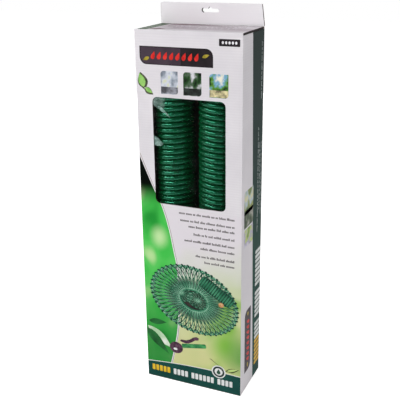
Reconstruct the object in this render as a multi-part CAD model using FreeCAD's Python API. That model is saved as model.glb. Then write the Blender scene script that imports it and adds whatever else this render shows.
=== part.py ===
import FreeCAD
import Part

import math
import os

V = FreeCAD.Vector

# Boxed coil garden hose: a tall window carton with a hang tab, a coiled hose folded in two columns,
# its two brass ends and a spray gun in the space above the columns. Millimetres, +Z up. The origin
# is the centre of the carton's footprint on the ground, -Y is the window side.

# Carton board. Its width and depth follow from the coil and the room left round it.
carton_height = 708.0
board = 1.5
fold_radius = 1.2          # outside radius of a standing fold
crease_gap = 0.6           # free strip at a crease that turns
layer_gap = 0.3            # between boards that pass each other

# Window in the front panel, and the film glued behind it
window_width = 142.0
window_height = 203.0
window_sill = 387.5
window_corner = 10.0
film_thickness = 0.25
film_margin = 12.0

# Lid, tuck flap and dust flaps
lid_side_inset = 0.8
tuck_clearance = 2.5       # lid's rear edge to the back panel
tuck_length = 20.0
tuck_lean = 8.0            # degrees the closed tuck leans inwards
tuck_corner = 9.0
dust_length = 62.0
dust_front_inset = 1.0
dust_rear_inset = 6.0
dust_taper = 0.5           # slope of the dust flap's front edge, so that the lid rises first
dust_corner = 6.0
dust_rear_taper = 5.0

# Bottom closure
bottom_inset = 0.5
bottom_inner_share = 0.7   # the inner flap's reach as a share of the depth
glue_flap_width = 16.0
glue_flap_taper = 8.0

# Hang tab
tab_height = 39.5
tab_taper = 3.0
tab_lean = 8.0
tab_corner = 2.0
tab_clearance = 0.3
tab_pivot_out = 1.5        # the crease's turning line: behind the back panel and above its top
tab_pivot_up = 1.5
slot_width = 33.0
slot_height = 7.0
slot_rise = 26.0           # middle of the hang slot above the crease
slot_bump_radius = 4.0
slot_bump_rise = 2.2

# Hose
hose_diameter = 10.0
coil_diameter = 77.0
coil_spread = 44.25        # each column's axis from the middle of the pair
coil_shift = -3.25         # middle of the pair from the carton's middle
coil_side_gap = 15.0       # left column to the left wall
coil_front_gap = 3.75      # behind the window film
coil_rear_room = 26.0      # between the columns and the back wall, for the hose's ends
head_room = 63.2           # above the columns, for the spray gun
coil_end_radius = 4.5
seat_gap = 0.3

# Where the hose's ends lie
male_side_gap = 4.0        # male end's face to the right wall
male_axis_inset = 16.5     # its axis from the back wall
swivel_axis_inset = 16.0
swivel_drop = 44.8         # start of the swivel end's relief below the columns' top
back_bend_first = 58.0     # the tail's two bends, before the male end's relief
back_bend_last = 20.0
pocket_bend_in = 20.1      # the pocket tail's bends, from the column's axis and the last turn
pocket_bend_out = 10.4
pocket_fall_first = 10.2
pocket_fall_last = 28.0

# Brass ends and strain reliefs
sleeve_gap = 0.3
relief_length = 26.0
relief_small_radius = 6.6
relief_large_radius = 8.4
relief_grooves = 5
relief_groove_width = 1.6
relief_groove_depth = 0.9
ferrule_length = 14.0
ferrule_radius = 8.6
ferrule_crimps = 3
ferrule_crimp_width = 1.4
ferrule_crimp_depth = 0.7
hose_in_ferrule = 12.0
water_radius = 3.2
hex_radius = 14.0
hex_flat = 12.6
hex_length = 8.0
spigot_radius = 13.1
spigot_length = 15.0
spigot_chamfer = 1.2
spigot_bore = 8.5
spigot_groove = 1.5
collar_length = 2.5
collar_radius = 8.2
neck_radius = 7.0
running_gap = 0.08
flange_radius = 11.2
flange_length = 2.5
washer_radius = 11.9
washer_hole = 6.0
washer_length = 3.0
socket_radius = 12.2
socket_depth = 10.0
nut_radius = 15.2
nut_flat = 14.0
nut_wall = 3.4
nut_chamfer = 1.4

# Spray gun, modelled with its barrel along +X and its handle hanging down
gun_side_gap = 4.0         # dial to the left wall
gun_front_gap = 1.25       # dial's face to the window film
barrel_radius = 14.0
barrel_rear = -24.0
barrel_front = 26.0
barrel_rear_shape = [(1.0, 0.73), (0.875, 0.87), (0.583, 1.0)]      # shares of length and radius
barrel_front_shape = [(0.54, 0.893), (0.846, 0.971), (1.0, 1.1)]
gun_neck_radius = 11.9
gun_neck_length = 8.0
dial_radius = 23.0
dial_depth = 21.7
dial_scallops = 12
dial_scallop_radius = 5.0
dial_scallop_depth = 1.1
pattern_ring = 14.0
pattern_count = 8
pattern_pocket_radius = 4.4
pattern_pocket_depth = 1.2
pattern_depth = 2.4
dial_face_step = 1.0
dial_rear_chamfer = 2.0
dial_front_chamfer = 2.5
dial_rim_width = 1.3
dial_rim_slope = 0.4
screw_radius = 2.5
screw_head_radius = 4.6
screw_head_length = 2.4
screw_length = 19.0
screw_cross_reach = 2.6
screw_cross_width = 1.2
handle_lean = 5.0
handle_length = 106.0
handle_radius = 12.6
handle_shape = [(0.075, 0.92, 0.84), (0.283, 1.0, 0.873), (0.509, 1.095, 0.968),
                (0.736, 1.0, 0.92), (0.906, 1.0, 0.984)]    # shares of length and of radius
cup_neck_radius = 14.4
cup_flare = 3.0
cup_floor = 2.0
cup_chamfer = 1.0
cup_length = 16.0
cup_radius = 16.2
inlet_bore_length = 20.0
bush_radius = 14.2
bush_floor = 1.4
lever_drop = 13.0          # pivot above the barrel's axis
lever_back = -36.0         # pivot behind the gun's origin
lever_thickness = 5.0
lever_width = 15.0
lever_hub_radius = 5.5
lever_length = 79.0        # below the barrel's axis
lever_shape = [(0.0, -0.05), (0.006, 0.076), (0.038, 0.253), (0.101, 0.456), (0.133, 0.633),
               (0.114, 0.785), (0.139, 0.911), (0.19, 1.0)]     # backwards and down, as shares
ear_gap = 0.3
ear_thickness = 3.7
ear_reach = 20.0
ear_wall = 1.0
ear_rise = 2.0
ear_root = 10.0
pin_radius = 2.0
pin_head_radius = 3.2
pin_head_length = 1.2
stem_radius = 2.2
stem_inside = 18.0
stem_end_gap = 4.0
stem_slot = 1.2            # play of the stem in the lever's slot
packing_length = 4.0
packing_radius = 8.6
packing_chamfer = 0.6
knob_radius = 6.0
knob_length = 9.0
knob_dome = 1.6
knob_gap = 0.7
knob_chamfer = 1.0
knob_flute_radius = 0.7

os.makedirs("parts", exist_ok=True)


# ---------------------------------------------------------------- helpers

def save(node, shape):
    """Write one node, after checking that each of its solids is valid."""
    if not shape.isValid() or not shape.Solids:
        raise ValueError("bad solid: " + node)
    shape.exportStep("parts/" + node + ".step")


def block(low, high):
    return Part.makeBox(high[0] - low[0], high[1] - low[1], high[2] - low[2], V(*low))


def unit(vector):
    return V(vector).normalize()


def outline(corners):
    """Closed wire in the XY plane through (x, y, radius) corners, each rounded by its radius."""
    arcs = []
    count = len(corners)
    for index, (x, y, radius) in enumerate(corners):
        here = V(x, y, 0)
        before = V(corners[index - 1][0], corners[index - 1][1], 0)
        after = V(corners[(index + 1) % count][0], corners[(index + 1) % count][1], 0)
        to_before, to_after = unit(before - here), unit(after - here)
        half = to_before.getAngle(to_after) / 2
        inwards = unit(to_before + to_after)
        reach = radius / math.tan(half)
        start, end = here + to_before * reach, here + to_after * reach
        middle = here + inwards * (radius / math.sin(half) - radius)
        arcs.append((start, middle, end))
    edges = []
    for index, (start, middle, end) in enumerate(arcs):
        if (end - start).Length > 1e-6:
            edges.append(Part.Arc(start, middle, end).toShape())
        following = arcs[(index + 1) % count][0]
        if (following - end).Length > 1e-6:
            edges.append(Part.LineSegment(end, following).toShape())
    return Part.Wire(edges)


def rectangle(x0, x1, y0, y1, radius=0.0):
    return outline([(x0, y0, radius), (x1, y0, radius), (x1, y1, radius), (x0, y1, radius)])


def prism(wire, low, high):
    """Solid from a wire in the XY plane, between two heights."""
    solid = Part.Face(wire).extrude(V(0, 0, high - low))
    solid.translate(V(0, 0, low))
    return solid


def stand_up(shape):
    """Turn a shape drawn in XY so that its Y becomes Z and its thickness runs along -Y."""
    turned = shape.copy()
    turned.rotate(V(0, 0, 0), V(1, 0, 0), 90)
    return turned


def revolve_x(profile):
    """Solid of revolution about X from (x, radius) points, closed along the axis if they end there."""
    points = [V(x, radius, 0) for x, radius in profile]
    wire = Part.makePolygon(points + [points[0]])
    return Part.Face(wire).revolve(V(0, 0, 0), V(1, 0, 0), 360)


def rod(radius, x0, x1):
    return Part.makeCylinder(radius, x1 - x0, V(x0, 0, 0), V(1, 0, 0))


def hexagon(flat_radius, x0, x1):
    """Hexagonal bar along X, two of its flats facing +Y and -Y."""
    corner = flat_radius / math.cos(math.pi / 6)
    points = []
    for side in range(6):
        angle = math.pi / 6 + side * math.pi / 3
        points.append(V(x0, corner * math.cos(angle), corner * math.sin(angle)))
    face = Part.Face(Part.makePolygon(points + [points[0]]))
    return face.extrude(V(x1 - x0, 0, 0))


def chamfered_rod(radius, x0, x1, chamfer):
    return revolve_x([(x0, 0), (x0, radius - chamfer), (x0 + chamfer, radius),
                      (x1 - chamfer, radius), (x1, radius - chamfer), (x1, 0)])


def creased_board(corners):
    """Board hinged on the X axis: it lies in XY, reaches along +Y and is rounded at its crease.

    The outline's corners are (x, y, radius), and its crease runs along y = 0.
    """
    reach = max(corner[1] for corner in corners)
    left = min(corner[0] for corner in corners)
    right = max(corner[0] for corner in corners)
    half = board / 2
    edges = [
        Part.LineSegment(V(left, 0, -half), V(left, reach, -half)).toShape(),
        Part.LineSegment(V(left, reach, -half), V(left, reach, half)).toShape(),
        Part.LineSegment(V(left, reach, half), V(left, 0, half)).toShape(),
        Part.Arc(V(left, 0, half), V(left, -half, 0), V(left, 0, -half)).toShape(),
    ]
    slab = Part.Face(Part.Wire(edges)).extrude(V(right - left, 0, 0))
    grown = [(x, y if y > 0 else -board, radius) for x, y, radius in corners]
    return slab.common(prism(outline(grown), -board, board))


# ---------------------------------------------------------------- carton

inner_x = coil_side_gap + coil_diameter / 2 + coil_spread - coil_shift
inner_y = (film_thickness + coil_front_gap + coil_diameter + coil_rear_room) / 2
half_width, half_depth = inner_x + board, inner_y + board
lid_pivot_y, lid_pivot_z = -half_depth + board / 2, carton_height - board / 2
tuck_pivot_y = inner_y - tuck_clearance - board / 2
dust_pivot_x = half_width - board / 2
dust_pivot_z = carton_height - board - layer_gap - board / 2
tab_pivot_y, tab_pivot_z = half_depth + tab_pivot_out, carton_height + tab_pivot_up


def sleeve_panel(side, top, bottom=board):
    """One wall of the folded sleeve, mitred at the standing folds."""
    outer = rectangle(-half_width, half_width, -half_depth, half_depth, fold_radius)
    tube = prism(outer, bottom, top).cut(block((-inner_x, -inner_y, 0), (inner_x, inner_y, top)))
    reach, beyond = 4 * board, 1.0
    x0, x1 = half_width + beyond, half_width - reach
    y0, y1 = half_depth + beyond, half_depth - reach
    wedges = {
        "front": [(-x0, -y0), (x0, -y0), (x1, -y1), (-x1, -y1)],
        "back": [(-x0, y0), (x0, y0), (x1, y1), (-x1, y1)],
        "right": [(x0, -y0), (x0, y0), (x1, y1), (x1, -y1)],
        "left": [(-x0, -y0), (-x0, y0), (-x1, y1), (-x1, -y1)],
    }
    corners = [V(x, y, 0) for x, y in wedges[side]]
    wedge = Part.Face(Part.makePolygon(corners + [corners[0]])).extrude(V(0, 0, top))
    return tube.common(wedge)


def front_panel():
    wall = sleeve_panel("front", carton_height - board - crease_gap)
    hole = rectangle(-window_width / 2, window_width / 2,
                     window_sill, window_sill + window_height, window_corner)
    cutter = stand_up(prism(hole, 0, 3 * board))
    cutter.translate(V(0, -half_depth + 2 * board, 0))
    return wall.cut(cutter)


def window_film():
    reach = window_width / 2 + film_margin
    sheet = rectangle(-reach, reach, window_sill - film_margin,
                      window_sill + window_height + film_margin, film_margin / 4)
    film = stand_up(prism(sheet, 0, film_thickness))
    film.translate(V(0, -inner_y + film_thickness, 0))
    return film


def glue_flap():
    """The strip that joins the sleeve: on the back panel, glued inside the left panel."""
    top = lid_pivot_z - tuck_length - 3 * board
    strip = block((-inner_x, inner_y - glue_flap_width, 3 * board + glue_flap_taper),
                  (-inner_x + board, inner_y, top))
    front = [edge for edge in strip.Edges
             if abs(edge.CenterOfMass.y - (inner_y - glue_flap_width)) < 1e-6
             and abs(edge.tangentAt(edge.FirstParameter).x) > 0.5]
    return strip.makeChamfer(glue_flap_taper, front)


def top_lid():
    reach = tuck_pivot_y - board / 2 - layer_gap - lid_pivot_y
    side = half_width - lid_side_inset
    lid = creased_board([(-side, 0, 0), (side, 0, 0), (side, reach, 1.0), (-side, reach, 1.0)])
    lid.translate(V(0, lid_pivot_y, lid_pivot_z))
    return lid


def tuck_flap():
    side = half_width - board - layer_gap
    flap = creased_board([(-side, 0, 0), (side, 0, 0),
                          (side, tuck_length, tuck_corner), (-side, tuck_length, tuck_corner)])
    flap.rotate(V(0, 0, 0), V(1, 0, 0), -90 - tuck_lean)
    flap.translate(V(0, tuck_pivot_y, lid_pivot_z))
    return flap


def dust_flap(hand):
    """Hand is +1 for the right flap and -1 for the left."""
    front = -inner_y + dust_front_inset
    rear = inner_y - dust_rear_inset
    tip_front = front + dust_taper * dust_length
    corners = [(front, 0, 0), (rear, 0, 0), (rear - dust_rear_taper, dust_length, dust_corner),
               (tip_front, dust_length, dust_corner)]
    if hand < 0:
        corners = [(-x, y, radius) for x, y, radius in corners]
    flap = creased_board(corners)
    flap.rotate(V(0, 0, 0), V(0, 0, 1), 90 * hand)
    flap.translate(V(hand * dust_pivot_x, 0, dust_pivot_z))
    return flap


def bottom_flap(kind):
    """Glued bottom: the outer flap carries the carton, the inner and dust flaps lie on it."""
    if kind == "outer":
        x, y = half_width - bottom_inset, half_depth - bottom_inset
        return prism(rectangle(-x, x, -y, y, fold_radius), 0, board)
    if kind == "inner":
        reach = bottom_inner_share * 2 * half_depth
        return prism(rectangle(-inner_x + bottom_inset, inner_x - bottom_inset,
                               -inner_y, -inner_y + reach, fold_radius), board, 2 * board)
    hand = 1 if kind == "right" else -1
    slope = dust_taper * dust_length / 2
    y = inner_y - bottom_inset
    corners = [(inner_x, -y, 0), (inner_x, y, 0), (inner_x - dust_length, y - slope, dust_corner),
               (inner_x - dust_length, -y + slope, dust_corner)]
    return prism(outline([(hand * a, b, r) for a, b, r in corners]), 2 * board, 3 * board)


def tab_ply(front_face):
    """One of the hang tab's two glued plies, its front face at this distance from the back panel's."""
    foot = carton_height + tab_clearance
    top = carton_height + tab_height
    edge = outline([(-half_width, foot, 0), (half_width, foot, 0),
                    (half_width - tab_taper, top, tab_corner),
                    (-half_width + tab_taper, top, tab_corner)])
    ply = stand_up(prism(edge, -board, 0))
    slot_z = carton_height + slot_rise
    slot = prism(rectangle(-slot_width / 2, slot_width / 2, slot_z - slot_height / 2,
                           slot_z + slot_height / 2, slot_height / 2 - 0.01), -2 * board, board)
    bump = Part.makeCylinder(slot_bump_radius, 3 * board, V(0, slot_z + slot_height / 2
                             + slot_bump_rise - slot_bump_radius, -2 * board))
    ply = ply.cut(stand_up(slot.fuse(bump)))
    ply.translate(V(0, inner_y + front_face, 0))
    ply.rotate(V(0, tab_pivot_y, tab_pivot_z), V(1, 0, 0), tab_lean)
    return ply


# ---------------------------------------------------------------- hose

hose_radius = hose_diameter / 2
coil_radius = coil_diameter / 2
turn_radius = coil_radius - hose_radius
floor_z = 3 * board + seat_gap
coil_top = carton_height - head_room
coil_height = coil_top - floor_z
left_coil_x, right_coil_x = coil_shift - coil_spread, coil_shift + coil_spread
coil_y = -inner_y + film_thickness + coil_front_gap + coil_radius
first_turn_z = floor_z + hose_radius
last_turn_z = coil_top - hose_radius


def coil(x):
    """One column of the coil: a fat tube with the hose's own roundness at its ends."""
    base = V(x, coil_y, floor_z)
    column = Part.makeCylinder(coil_radius, coil_height, base)
    bore = Part.makeCylinder(turn_radius - hose_radius, coil_height, base)
    column = column.cut(bore)
    rims = [edge for edge in column.Edges if edge.Curve.TypeId == "Part::GeomCircle"]
    return column.makeFillet(coil_end_radius, rims)


def inside_of_coil(x):
    return Part.makeCylinder(coil_radius, coil_height, V(x, coil_y, floor_z))


def tube(name, points):
    """Round tube along straight runs joined by tangent arcs about as large as the runs allow."""
    places = [V(*point) for point in points]
    edges = []
    start = places[0]
    radii = []
    for before, here, after in zip(places, places[1:], places[2:]):
        shorter = min((here - before).Length, (after - here).Length)
        back, on = unit(before - here), unit(after - here)
        half_turn = (math.pi - back.getAngle(on)) / 2
        reach = 0.45 * shorter
        radius = reach / math.tan(half_turn)
        radii.append(radius)
        inwards = unit(back + on)
        bulge = radius / math.cos(half_turn) - radius
        enter, leave = here + back * reach, here + on * reach
        edges.append(Part.LineSegment(start, enter).toShape())
        edges.append(Part.Arc(enter, here + inwards * bulge, leave).toShape())
        start = leave
    edges.append(Part.LineSegment(start, places[-1]).toShape())
    path = Part.Wire(edges)
    ring = Part.Wire(Part.makeCircle(hose_radius, places[0], places[1] - places[0]))
    solid = path.makePipeShell([ring], True, True)
    expected = math.pi * hose_radius ** 2 * path.Length
    print(name, "arc radii", [round(radius, 1) for radius in radii],
          "length", round(path.Length, 1), "volume ratio", round(solid.Volume / expected, 5))
    return solid


# The crossing at the foot is the straight line that touches both columns' turns, from the front
# of the left one to the back of the right one.
cross_angle = math.acos(turn_radius / coil_spread)
cross_x = turn_radius * math.cos(cross_angle)
cross_y = turn_radius * math.sin(cross_angle)

# Male end: lies along +X behind the gun, on the right column. Swivel end: hangs in the pocket
# between the two columns' backs.
male_axis_y, male_axis_z = inner_y - male_axis_inset, coil_top + seat_gap + hex_radius
male_start_x = inner_x - male_side_gap - relief_length - ferrule_length - hex_length - spigot_length
swivel_axis_x = right_coil_x - turn_radius
swivel_axis_y = inner_y - swivel_axis_inset
swivel_start_z = coil_top - swivel_drop

back_route = [
    (left_coil_x, coil_y + turn_radius, last_turn_z),
    (male_start_x - back_bend_first, coil_y + turn_radius, last_turn_z),
    (male_start_x - back_bend_last, male_axis_y, male_axis_z),
    (male_start_x + relief_length + hose_in_ferrule, male_axis_y, male_axis_z),
]
pocket_route = [
    (swivel_axis_x, coil_y, last_turn_z),
    (swivel_axis_x, coil_y + pocket_bend_in, last_turn_z),
    (swivel_axis_x, swivel_axis_y - pocket_bend_out, last_turn_z - pocket_fall_first),
    (swivel_axis_x, swivel_axis_y, last_turn_z - pocket_fall_last),
    (swivel_axis_x, swivel_axis_y, swivel_start_z - relief_length - hose_in_ferrule),
]


# ---------------------------------------------------------------- hose ends, along +X from the relief

hose_bore = hose_radius + sleeve_gap
ferrule_start = relief_length
fitting_start = relief_length + ferrule_length
collar_end = fitting_start + collar_length
nut_start = collar_end + seat_gap
socket_wall = nut_start + nut_wall
flange_start = socket_wall + seat_gap
flange_end = flange_start + flange_length
washer_end = flange_end + washer_length
nut_end = washer_end + socket_depth


def strain_relief():
    """Tapered sleeve with grooves that let it bend."""
    pitch = relief_length / (relief_grooves + 1)
    slope = (relief_large_radius - relief_small_radius) / relief_length
    profile = [(0, hose_bore), (0, relief_small_radius)]
    for groove in range(relief_grooves):
        x = pitch * (groove + 1) - relief_groove_width / 2
        radius = relief_small_radius + slope * x
        profile += [(x, radius), (x, radius - relief_groove_depth),
                    (x + relief_groove_width, radius - relief_groove_depth),
                    (x + relief_groove_width, radius + slope * relief_groove_width)]
    profile += [(relief_length, relief_large_radius), (relief_length, hose_bore)]
    return revolve_x(profile)


def ferrule():
    """Brass sleeve crimped round the hose's end."""
    pitch = ferrule_length / (ferrule_crimps + 1)
    end = ferrule_start + ferrule_length
    profile = [(ferrule_start, hose_bore), (ferrule_start, ferrule_radius)]
    for crimp in range(ferrule_crimps):
        x = ferrule_start + pitch * (crimp + 1)
        profile += [(x - ferrule_crimp_width, ferrule_radius),
                    (x - ferrule_crimp_width / 2, ferrule_radius - ferrule_crimp_depth),
                    (x + ferrule_crimp_width / 2, ferrule_radius - ferrule_crimp_depth),
                    (x + ferrule_crimp_width, ferrule_radius)]
    profile += [(end, ferrule_radius), (end, hose_bore)]
    return revolve_x(profile)


def male_end():
    """Hexagon and threaded spigot, bored through."""
    hex_end = fitting_start + hex_length
    end = hex_end + spigot_length
    head = hexagon(hex_flat, fitting_start, hex_end)
    head = head.common(chamfered_rod(hex_radius, fitting_start, hex_end, spigot_chamfer))
    spigot = revolve_x([
        (hex_end, 0), (hex_end, spigot_radius - spigot_groove),
        (hex_end + spigot_groove, spigot_radius - spigot_groove),
        (hex_end + spigot_groove, spigot_radius),
        (end - spigot_chamfer, spigot_radius), (end, spigot_radius - spigot_chamfer), (end, 0)])
    water = rod(water_radius, fitting_start, end).fuse(rod(spigot_bore, hex_end, end))
    return head.fuse(spigot).cut(water).removeSplitter()


def tailpiece():
    """Collar against the ferrule, neck that the nut turns on, and the flange that holds the nut."""
    return revolve_x([
        (fitting_start, water_radius), (fitting_start, collar_radius), (collar_end, collar_radius),
        (collar_end, neck_radius), (flange_start, neck_radius), (flange_start, flange_radius),
        (flange_end, flange_radius), (flange_end, washer_hole), (flange_start, water_radius)])


def ring(outer, inner, x0, x1):
    return rod(outer, x0, x1).cut(rod(inner, x0, x1))


def swivel_nut():
    body = hexagon(nut_flat, nut_start, nut_end)
    body = body.common(chamfered_rod(nut_radius, nut_start, nut_end, nut_chamfer))
    body = body.cut(rod(neck_radius + running_gap, nut_start, nut_end))
    return body.cut(rod(socket_radius, socket_wall, nut_end))


def lay_male(shape):
    placed = shape.copy()
    placed.translate(V(male_start_x, male_axis_y, male_axis_z))
    return placed


def hang_swivel(shape):
    placed = shape.copy()
    placed.rotate(V(0, 0, 0), V(0, 1, 0), 90)
    placed.translate(V(swivel_axis_x, swivel_axis_y, swivel_start_z))
    return placed


# ---------------------------------------------------------------- spray gun

packing_rear = barrel_rear - packing_length
neck_end = barrel_front + gun_neck_length
dial_start = barrel_front + seat_gap
dial_end = dial_start + dial_depth
dial_face = dial_end - dial_face_step
screw_seat = dial_face - screw_head_length - 2 * seat_gap
screw_tip = screw_seat + seat_gap + screw_head_length - screw_length
lever_rear_face = lever_back - lever_thickness / 2
knob_start = lever_rear_face - knob_gap
knob_end = knob_start - knob_length
stem_hole = stem_radius + running_gap
cup_start = handle_length
cup_end = handle_length + cup_length
bush_start = cup_start + cup_floor
gun_x = -inner_x + gun_side_gap + dial_radius
gun_y = -inner_y + film_thickness + gun_front_gap + dial_end
gun_z = coil_top + seat_gap + dial_radius
gun_place = FreeCAD.Placement(FreeCAD.Matrix(
    0, 0, -1, gun_x,
    -1, 0, 0, gun_y,
    0, 1, 0, gun_z,
    0, 0, 0, 1))


def ellipse(depth, along, across):
    """Section of the handle, at this depth below the barrel's axis."""
    major, minor = max(along, across), min(along, across)
    ring_edge = Part.Ellipse(V(0, 0, 0), major, minor).toShape()
    if across > along:
        ring_edge.rotate(V(0, 0, 0), V(0, 0, 1), 90)
    ring_edge.translate(V(0, 0, -depth))
    return Part.Wire(ring_edge)


def lean_handle(shape):
    leaned = shape.copy()
    leaned.rotate(V(0, 0, 0), V(0, 1, 0), handle_lean)
    return leaned


def down(profile):
    """Solid of revolution about -Z from (depth, radius) points."""
    points = [V(radius, 0, -depth) for depth, radius in profile]
    face = Part.Face(Part.makePolygon(points + [points[0]]))
    return face.revolve(V(0, 0, 0), V(0, 0, 1), 360)


def gun_handle():
    sections = [(down_share * handle_length, along * handle_radius, across * handle_radius)
                for down_share, along, across in handle_shape]
    sections.append((handle_length, cup_neck_radius, cup_neck_radius))
    grip = Part.makeLoft([ellipse(*section) for section in sections], True)
    cup = down([(cup_start, 0), (cup_start, cup_neck_radius), (cup_start + cup_flare, cup_radius),
                (cup_end - cup_chamfer, cup_radius), (cup_end, cup_radius - cup_chamfer), (cup_end, 0)])
    cup = cup.cut(down([(bush_start, 0), (bush_start, bush_radius), (cup_end, bush_radius), (cup_end, 0)]))
    bore_start = cup_start - inlet_bore_length
    bore = down([(bore_start, 0), (bore_start, washer_hole), (cup_end, washer_hole), (cup_end, 0)])
    return lean_handle(grip.fuse(cup).cut(bore))


def gun_barrel():
    top = [V(share * barrel_rear, size * barrel_radius, 0) for share, size in barrel_rear_shape]
    top.append(V(0, barrel_radius, 0))
    top += [V(share * barrel_front, size * barrel_radius, 0) for share, size in barrel_front_shape]
    curve = Part.BSplineCurve()
    curve.interpolate(top)
    edges = [
        curve.toShape(),
        Part.LineSegment(top[-1], V(barrel_front, gun_neck_radius, 0)).toShape(),
        Part.LineSegment(V(barrel_front, gun_neck_radius, 0), V(neck_end, gun_neck_radius, 0)).toShape(),
        Part.LineSegment(V(neck_end, gun_neck_radius, 0), V(neck_end, 0, 0)).toShape(),
        Part.LineSegment(V(neck_end, 0, 0), V(barrel_rear, 0, 0)).toShape(),
        Part.LineSegment(V(barrel_rear, 0, 0), top[0]).toShape(),
    ]
    return Part.Face(Part.Wire(edges)).revolve(V(0, 0, 0), V(1, 0, 0), 360)


def ears():
    """Two lugs at the barrel's rear that hold the lever's pin."""
    reach = lever_hub_radius + ear_wall
    round_end = 0.97 * reach
    edge = outline([(lever_back - reach, lever_drop - reach, round_end),
                    (lever_back - reach, lever_drop + reach, round_end),
                    (lever_back + ear_reach, lever_drop + ear_rise, ear_wall),
                    (lever_back + ear_reach, lever_drop - ear_root, ear_wall)])
    inner = lever_width / 2 + ear_gap
    pair = stand_up(prism(edge, inner, inner + ear_thickness)).fuse(
        stand_up(prism(edge, -inner - ear_thickness, -inner)))
    hole = Part.makeCylinder(pin_radius + running_gap / 2, 4 * lever_width,
                             V(lever_back, -2 * lever_width, lever_drop), V(0, 1, 0))
    return pair.cut(hole)


def gun_body():
    body = gun_barrel().fuse([gun_handle(), ears()])
    body = body.cut(rod(stem_hole, barrel_rear, barrel_rear + stem_inside))
    return body.cut(rod(screw_radius + running_gap, screw_tip - 2 * seat_gap, neck_end)).removeSplitter()


def gun_lever():
    """Wavy lever, its middle line drawn from its hub to its tip."""
    line = [(lever_back - back * lever_length, -low * lever_length) for back, low in lever_shape]
    middle = Part.BSplineCurve()
    middle.interpolate([V(x, z, 0) for x, z in [(lever_back, lever_drop)] + line])
    half = lever_thickness / 2
    front, rear = [], []
    steps = 14
    for step in range(steps + 1):
        at = middle.FirstParameter + (middle.LastParameter - middle.FirstParameter) * step / steps
        along = V(middle.tangent(at)[0])
        across = V(-along.y, along.x, 0)
        front.append(middle.value(at) + across * half)
        rear.append(middle.value(at) - across * half)
    sides = []
    for points in (front, rear[::-1]):
        curve = Part.BSplineCurve()
        curve.interpolate(points)
        sides.append(curve.toShape())
    tip_along = V(middle.tangent(middle.LastParameter)[0])
    tip = Part.Arc(front[-1], middle.value(middle.LastParameter) + tip_along * half, rear[-1]).toShape()
    root = Part.LineSegment(rear[0], front[0]).toShape()
    blade = Part.Face(Part.Wire([sides[0], tip, sides[1], root]))
    blade = stand_up(blade.extrude(V(0, 0, lever_width)))
    blade.translate(V(0, lever_width / 2, 0))
    hub = Part.makeCylinder(lever_hub_radius, lever_width,
                            V(lever_back, -lever_width / 2, lever_drop), V(0, 1, 0))
    pin_hole = Part.makeCylinder(pin_radius + running_gap, lever_width,
                                 V(lever_back, -lever_width / 2, lever_drop), V(0, 1, 0))
    play_y, play_z = stem_radius + stem_slot / 2, stem_radius + stem_slot
    slot = block((lever_back - lever_thickness, -play_y, -play_z),
                 (lever_back + lever_thickness, play_y, play_z))
    return blade.fuse(hub).cut(pin_hole.fuse(slot)).removeSplitter()


def lever_pin():
    reach = lever_width / 2 + ear_gap + ear_thickness
    pin = Part.makeCylinder(pin_radius, 2 * reach, V(lever_back, -reach, lever_drop), V(0, 1, 0))
    for start in (-reach - pin_head_length, reach):
        pin = pin.fuse(Part.makeCylinder(pin_head_radius, pin_head_length,
                                         V(lever_back, start, lever_drop), V(0, 1, 0)))
    return pin.removeSplitter()


def packing_nut():
    nut = hexagon(packing_radius * math.cos(math.pi / 6), packing_rear, barrel_rear)
    nut = nut.common(chamfered_rod(packing_radius, packing_rear, barrel_rear, packing_chamfer))
    return nut.cut(rod(stem_hole, packing_rear, barrel_rear))


def valve_stem():
    return rod(stem_radius, knob_end + knob_chamfer, barrel_rear + stem_inside - stem_end_gap)


def stem_knob():
    """Knurled nut behind the lever, with a domed face that rolls on it."""
    inside = knob_end + knob_chamfer
    knob = revolve_x([(knob_start, stem_radius), (knob_start, stem_radius + knob_flute_radius),
                      (knob_start - knob_dome, knob_radius), (inside, knob_radius),
                      (knob_end, knob_radius - knob_chamfer), (knob_end, 0), (inside, 0),
                      (inside, stem_radius)])
    for flute in range(dial_scallops):
        groove = rod(knob_flute_radius, knob_end, knob_start)
        groove.translate(V(0, knob_radius + knob_flute_radius / 3, 0))
        groove.rotate(V(0, 0, 0), V(1, 0, 0), flute * 360.0 / dial_scallops)
        knob = knob.cut(groove)
    return knob


def spray_pattern(kind):
    """Openings of one spray pattern, as cutters along X through the pocket's floor at the origin."""
    def hole(radius, y=0.0, z=0.0):
        drill = rod(radius, -pattern_depth, 0)
        drill.translate(V(0, y, z))
        return drill

    def holes(count, ring_radius, radius):
        return [hole(radius, ring_radius * math.cos(2 * math.pi * i / count),
                     ring_radius * math.sin(2 * math.pi * i / count)) for i in range(count)]

    def slit(length, width):
        return block((-pattern_depth, -length / 2, -width / 2), (0, length / 2, width / 2))

    room = pattern_pocket_radius
    kinds = [
        lambda: [hole(0.3 * room)],
        lambda: holes(7, 0.59 * room, 0.115 * room) + [hole(0.115 * room)],
        lambda: [slit(1.36 * room, 0.25 * room)],
        lambda: [ring(0.61 * room, 0.39 * room, -pattern_depth, 0)],
        lambda: holes(3, 0.3 * room, 0.135 * room),
        lambda: [slit(0.25 * room, 1.36 * room)],
        lambda: holes(4, 0.43 * room, 0.2 * room),
        lambda: [hole(0.59 * room)],
    ]
    return kinds[kind % len(kinds)]()


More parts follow.
